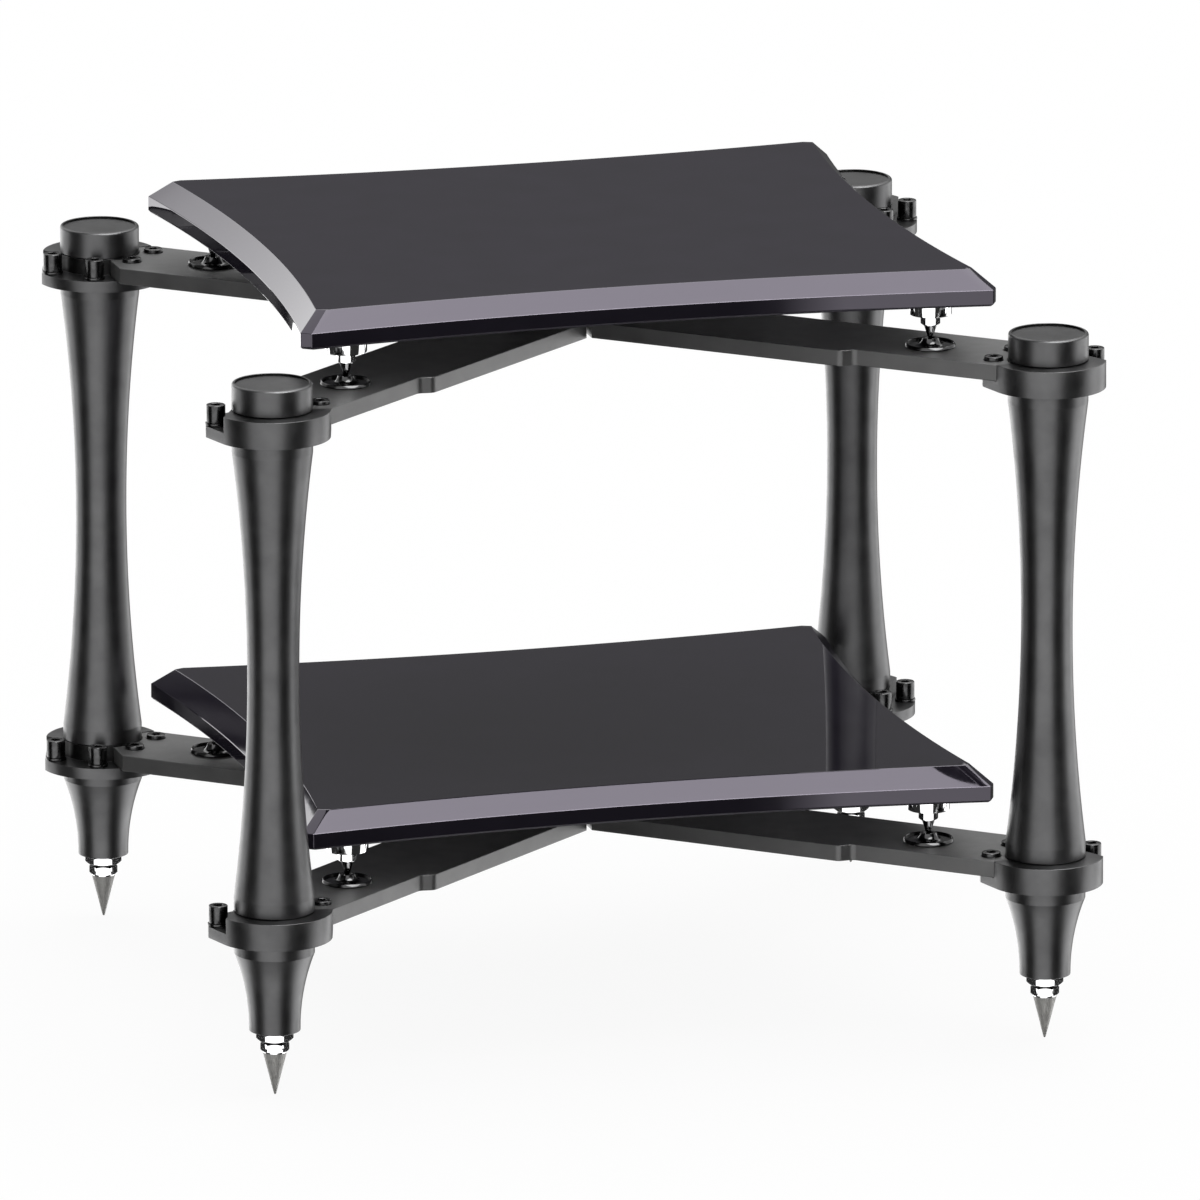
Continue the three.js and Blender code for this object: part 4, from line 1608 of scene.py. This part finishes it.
# Above it: a dark wall behind the rack with one tall bright strip on its left
HIGH_STOPS = (
    (-180, 0.050), (-164, 0.050), (-161, 0.68), (-144, 0.68), (-140, 0.35), (-100, 0.3),
    (-96, 0.03), (-52, 0.03), (-46, 0.75), (21, 0.75), (27, 0.03), (74, 0.03), (80, 0.5),
    (140, 0.4), (146, 0.3), (150, 0.04), (162, 0.04), (166, 0.050), (180, 0.050),
)
# High up: bright all round but for one dark side on the left
TOP_STOPS = ((-180, 0.62), (-110, 0.62), (-100, 0.08), (-52, 0.08), (-42, 0.62), (180, 0.62))
# Two softboxes high on the right, and two small flags low behind the rack: place, reach and level
PATCHES = (
    ((38, 56), 26, 4.0), ((97, 63), 23, 1.82), ((120, -14.3), 6, 0.01), ((-120, -14.3), 6, 0.01),
)
PATCH_EDGE = 1
# Heights between which one zone turns into the next, and the level straight below
HIGH_FROM = (-1, 6)
TOP_FROM = (20, 26)
NADIR_UNTIL = (-62, -56)
NADIR_LEVEL = 0.03
# Darkest speckle of the floor against its lightest
SPECKLE = 0.995


def studio_world(stage):
    """Panels that only mirrors see, plain light for the rest, and white behind the rack."""
    world = bpy.data.worlds.get("Studio") or bpy.data.worlds.new("Studio")
    world.use_nodes = True
    tree = world.node_tree
    tree.nodes.clear()
    where = add_node(tree, "ShaderNodeTexCoord").outputs["Generated"]
    facing = stage.camera_turn - math.pi / 2
    turned = result_of(tree, "ShaderNodeMapping", {"Vector": where, "Rotation": (0, 0, -facing)})
    x, y, z = axes_of(tree, turned)
    round_share = y.calculate("ARCTAN2", x) / FULL_TURN + 0.5
    rise = z.calculate("ARCSINE")

    bands = (LOW_STOPS, HIGH_STOPS, TOP_STOPS)
    low, high, top = (studio_ramp(tree, round_share, stops) for stops in bands)
    dome = blend(tree, over(tree, rise, *HIGH_FROM), low, high)
    dome = blend(tree, over(tree, rise, *TOP_FROM), dome, top)
    dome = blend(tree, over(tree, rise, *NADIR_UNTIL), grey(NADIR_LEVEL), dome)
    for place, reach, level in PATCHES:
        dome = blend(tree, round_patch(tree, turned, place, reach), dome, grey(level))

    panels, plain, white = (
        result_of(tree, "ShaderNodeBackground", {"Color": tone, "Strength": power})
        for tone, power in ((dome, stage.panel_light), (grey(1), stage.ambient), (grey(1), 1.0))
    )
    path = add_node(tree, "ShaderNodeLightPath").outputs
    seen = result_of(tree, "ShaderNodeMixShader", {0: path["Is Glossy Ray"], 1: plain, 2: panels})
    seen = result_of(tree, "ShaderNodeMixShader", {0: path["Is Camera Ray"], 1: seen, 2: white})
    add_node(tree, "ShaderNodeOutputWorld", {"Surface": seen})
    bpy.context.scene.world = world


def floor_finish(stage):
    """White that a shadow can darken only by the share that doesn't glow."""
    material, tree = new_node_material("studio_floor")
    share = 1.0 - stage.floor_glow
    speckle = between(tree, grain(tree, 3.0), share * SPECKLE, share)
    shade = result_of(tree, "ShaderNodeCombineColor", {0: speckle, 1: speckle, 2: speckle})
    lit = result_of(tree, "ShaderNodeBsdfDiffuse", {"Color": shade})
    camera_ray = Figure(tree, add_node(tree, "ShaderNodeLightPath").outputs["Is Camera Ray"])
    glow = {"Color": grey(1), "Strength": camera_ray * stage.floor_glow}
    both = {0: lit, 1: result_of(tree, "ShaderNodeEmission", glow)}
    surface = result_of(tree, "ShaderNodeAddShader", both)
    add_node(tree, "ShaderNodeOutputMaterial", {"Surface": surface})
    return material


class RACK_OT_stage(Operator):
    """Make the floor, the soft light, the studio panels and the camera"""

    bl_idname = "rack.stage"
    bl_label = "Stage"

    def execute(self, context):
        stage = context.scene.rack.stage
        scene = context.scene
        scene.view_settings.view_transform = "Standard"

        shape = bmesh.new()
        bmesh.ops.create_grid(shape, x_segments=8, y_segments=8, size=stage.floor_size / 2)
        floor = object_from("studio_floor", shape)
        floor.data.materials.append(floor_finish(stage))
        floor.visible_glossy = False

        lamp_data = bpy.data.lights.new("soft_light", "SUN")
        lamp_data.energy = stage.lamp_power
        lamp_data.angle = stage.lamp_spread
        lamp = new_object("soft_light", lamp_data)
        lamp.rotation_euler = (stage.lamp_lean_back, stage.lamp_lean_right, 0)
        lamp.visible_glossy = False
        studio_world(stage)

        turn, rise = stage.camera_turn, stage.camera_rise
        level = math.cos(rise)
        back = Vector((math.sin(turn) * level, -math.cos(turn) * level, math.sin(rise)))
        right = Vector((math.cos(turn), math.sin(turn), 0))
        up = back.cross(right)
        lens = bpy.data.cameras.new("camera")
        lens.lens = stage.lens
        lens.sensor_width = stage.film_width
        lens.clip_end = stage.view_depth
        camera = new_object("camera", lens)
        place = back * stage.distance + right * stage.aim_right + up * stage.aim_up
        turned = Matrix((right, up, back)).transposed().to_4x4()
        camera.matrix_world = Matrix.Translation(place) @ turned
        scene.camera = camera
        return {"FINISHED"}


class RACK_PT_builder(Panel):
    """Lists the steps that make the rack"""

    bl_idname = "RACK_PT_builder"
    bl_label = "Audio Rack"
    bl_space_type = "VIEW_3D"
    bl_region_type = "UI"
    bl_category = "Audio Rack"

    def draw(self, context):
        for maker in MAKERS:
            self.layout.operator(maker.bl_idname)
        for key in RackSettings.__annotations__:
            settings = getattr(context.scene.rack, key)
            box = self.layout.box()
            box.label(text=key.title())
            for name in type(settings).__annotations__:
                box.prop(settings, name)


MAKERS = (
    RACK_OT_stage,
    RACK_OT_finishes,
    RACK_OT_columns,
    RACK_OT_feet,
    RACK_OT_caps,
    RACK_OT_collars,
    RACK_OT_arms,
    RACK_OT_screws,
    RACK_OT_hub_plates,
    RACK_OT_dishes,
    RACK_OT_board_spikes,
    RACK_OT_boards,
    RACK_OT_lock_nuts,
    RACK_OT_floor_spikes,
    RACK_OT_tie_rods,
)

CLASSES = (
    PostSizes,
    CollarSizes,
    ArmSizes,
    ScrewSizes,
    IsolatorSizes,
    BoardSizes,
    FootingSizes,
    HubSizes,
    FinishColours,
    StageSettings,
    RackSettings,
    *MAKERS,
    RACK_PT_builder,
)


def register():
    for made in CLASSES:
        bpy.utils.register_class(made)
    bpy.types.Scene.rack = PointerProperty(type=RackSettings)


def unregister():
    del bpy.types.Scene.rack
    for made in reversed(CLASSES):
        bpy.utils.unregister_class(made)


def main():
    register()
    for maker in MAKERS:
        group, name = maker.bl_idname.split(".")
        getattr(getattr(bpy.ops, group), name)()


if __name__ == "__main__":
    main()
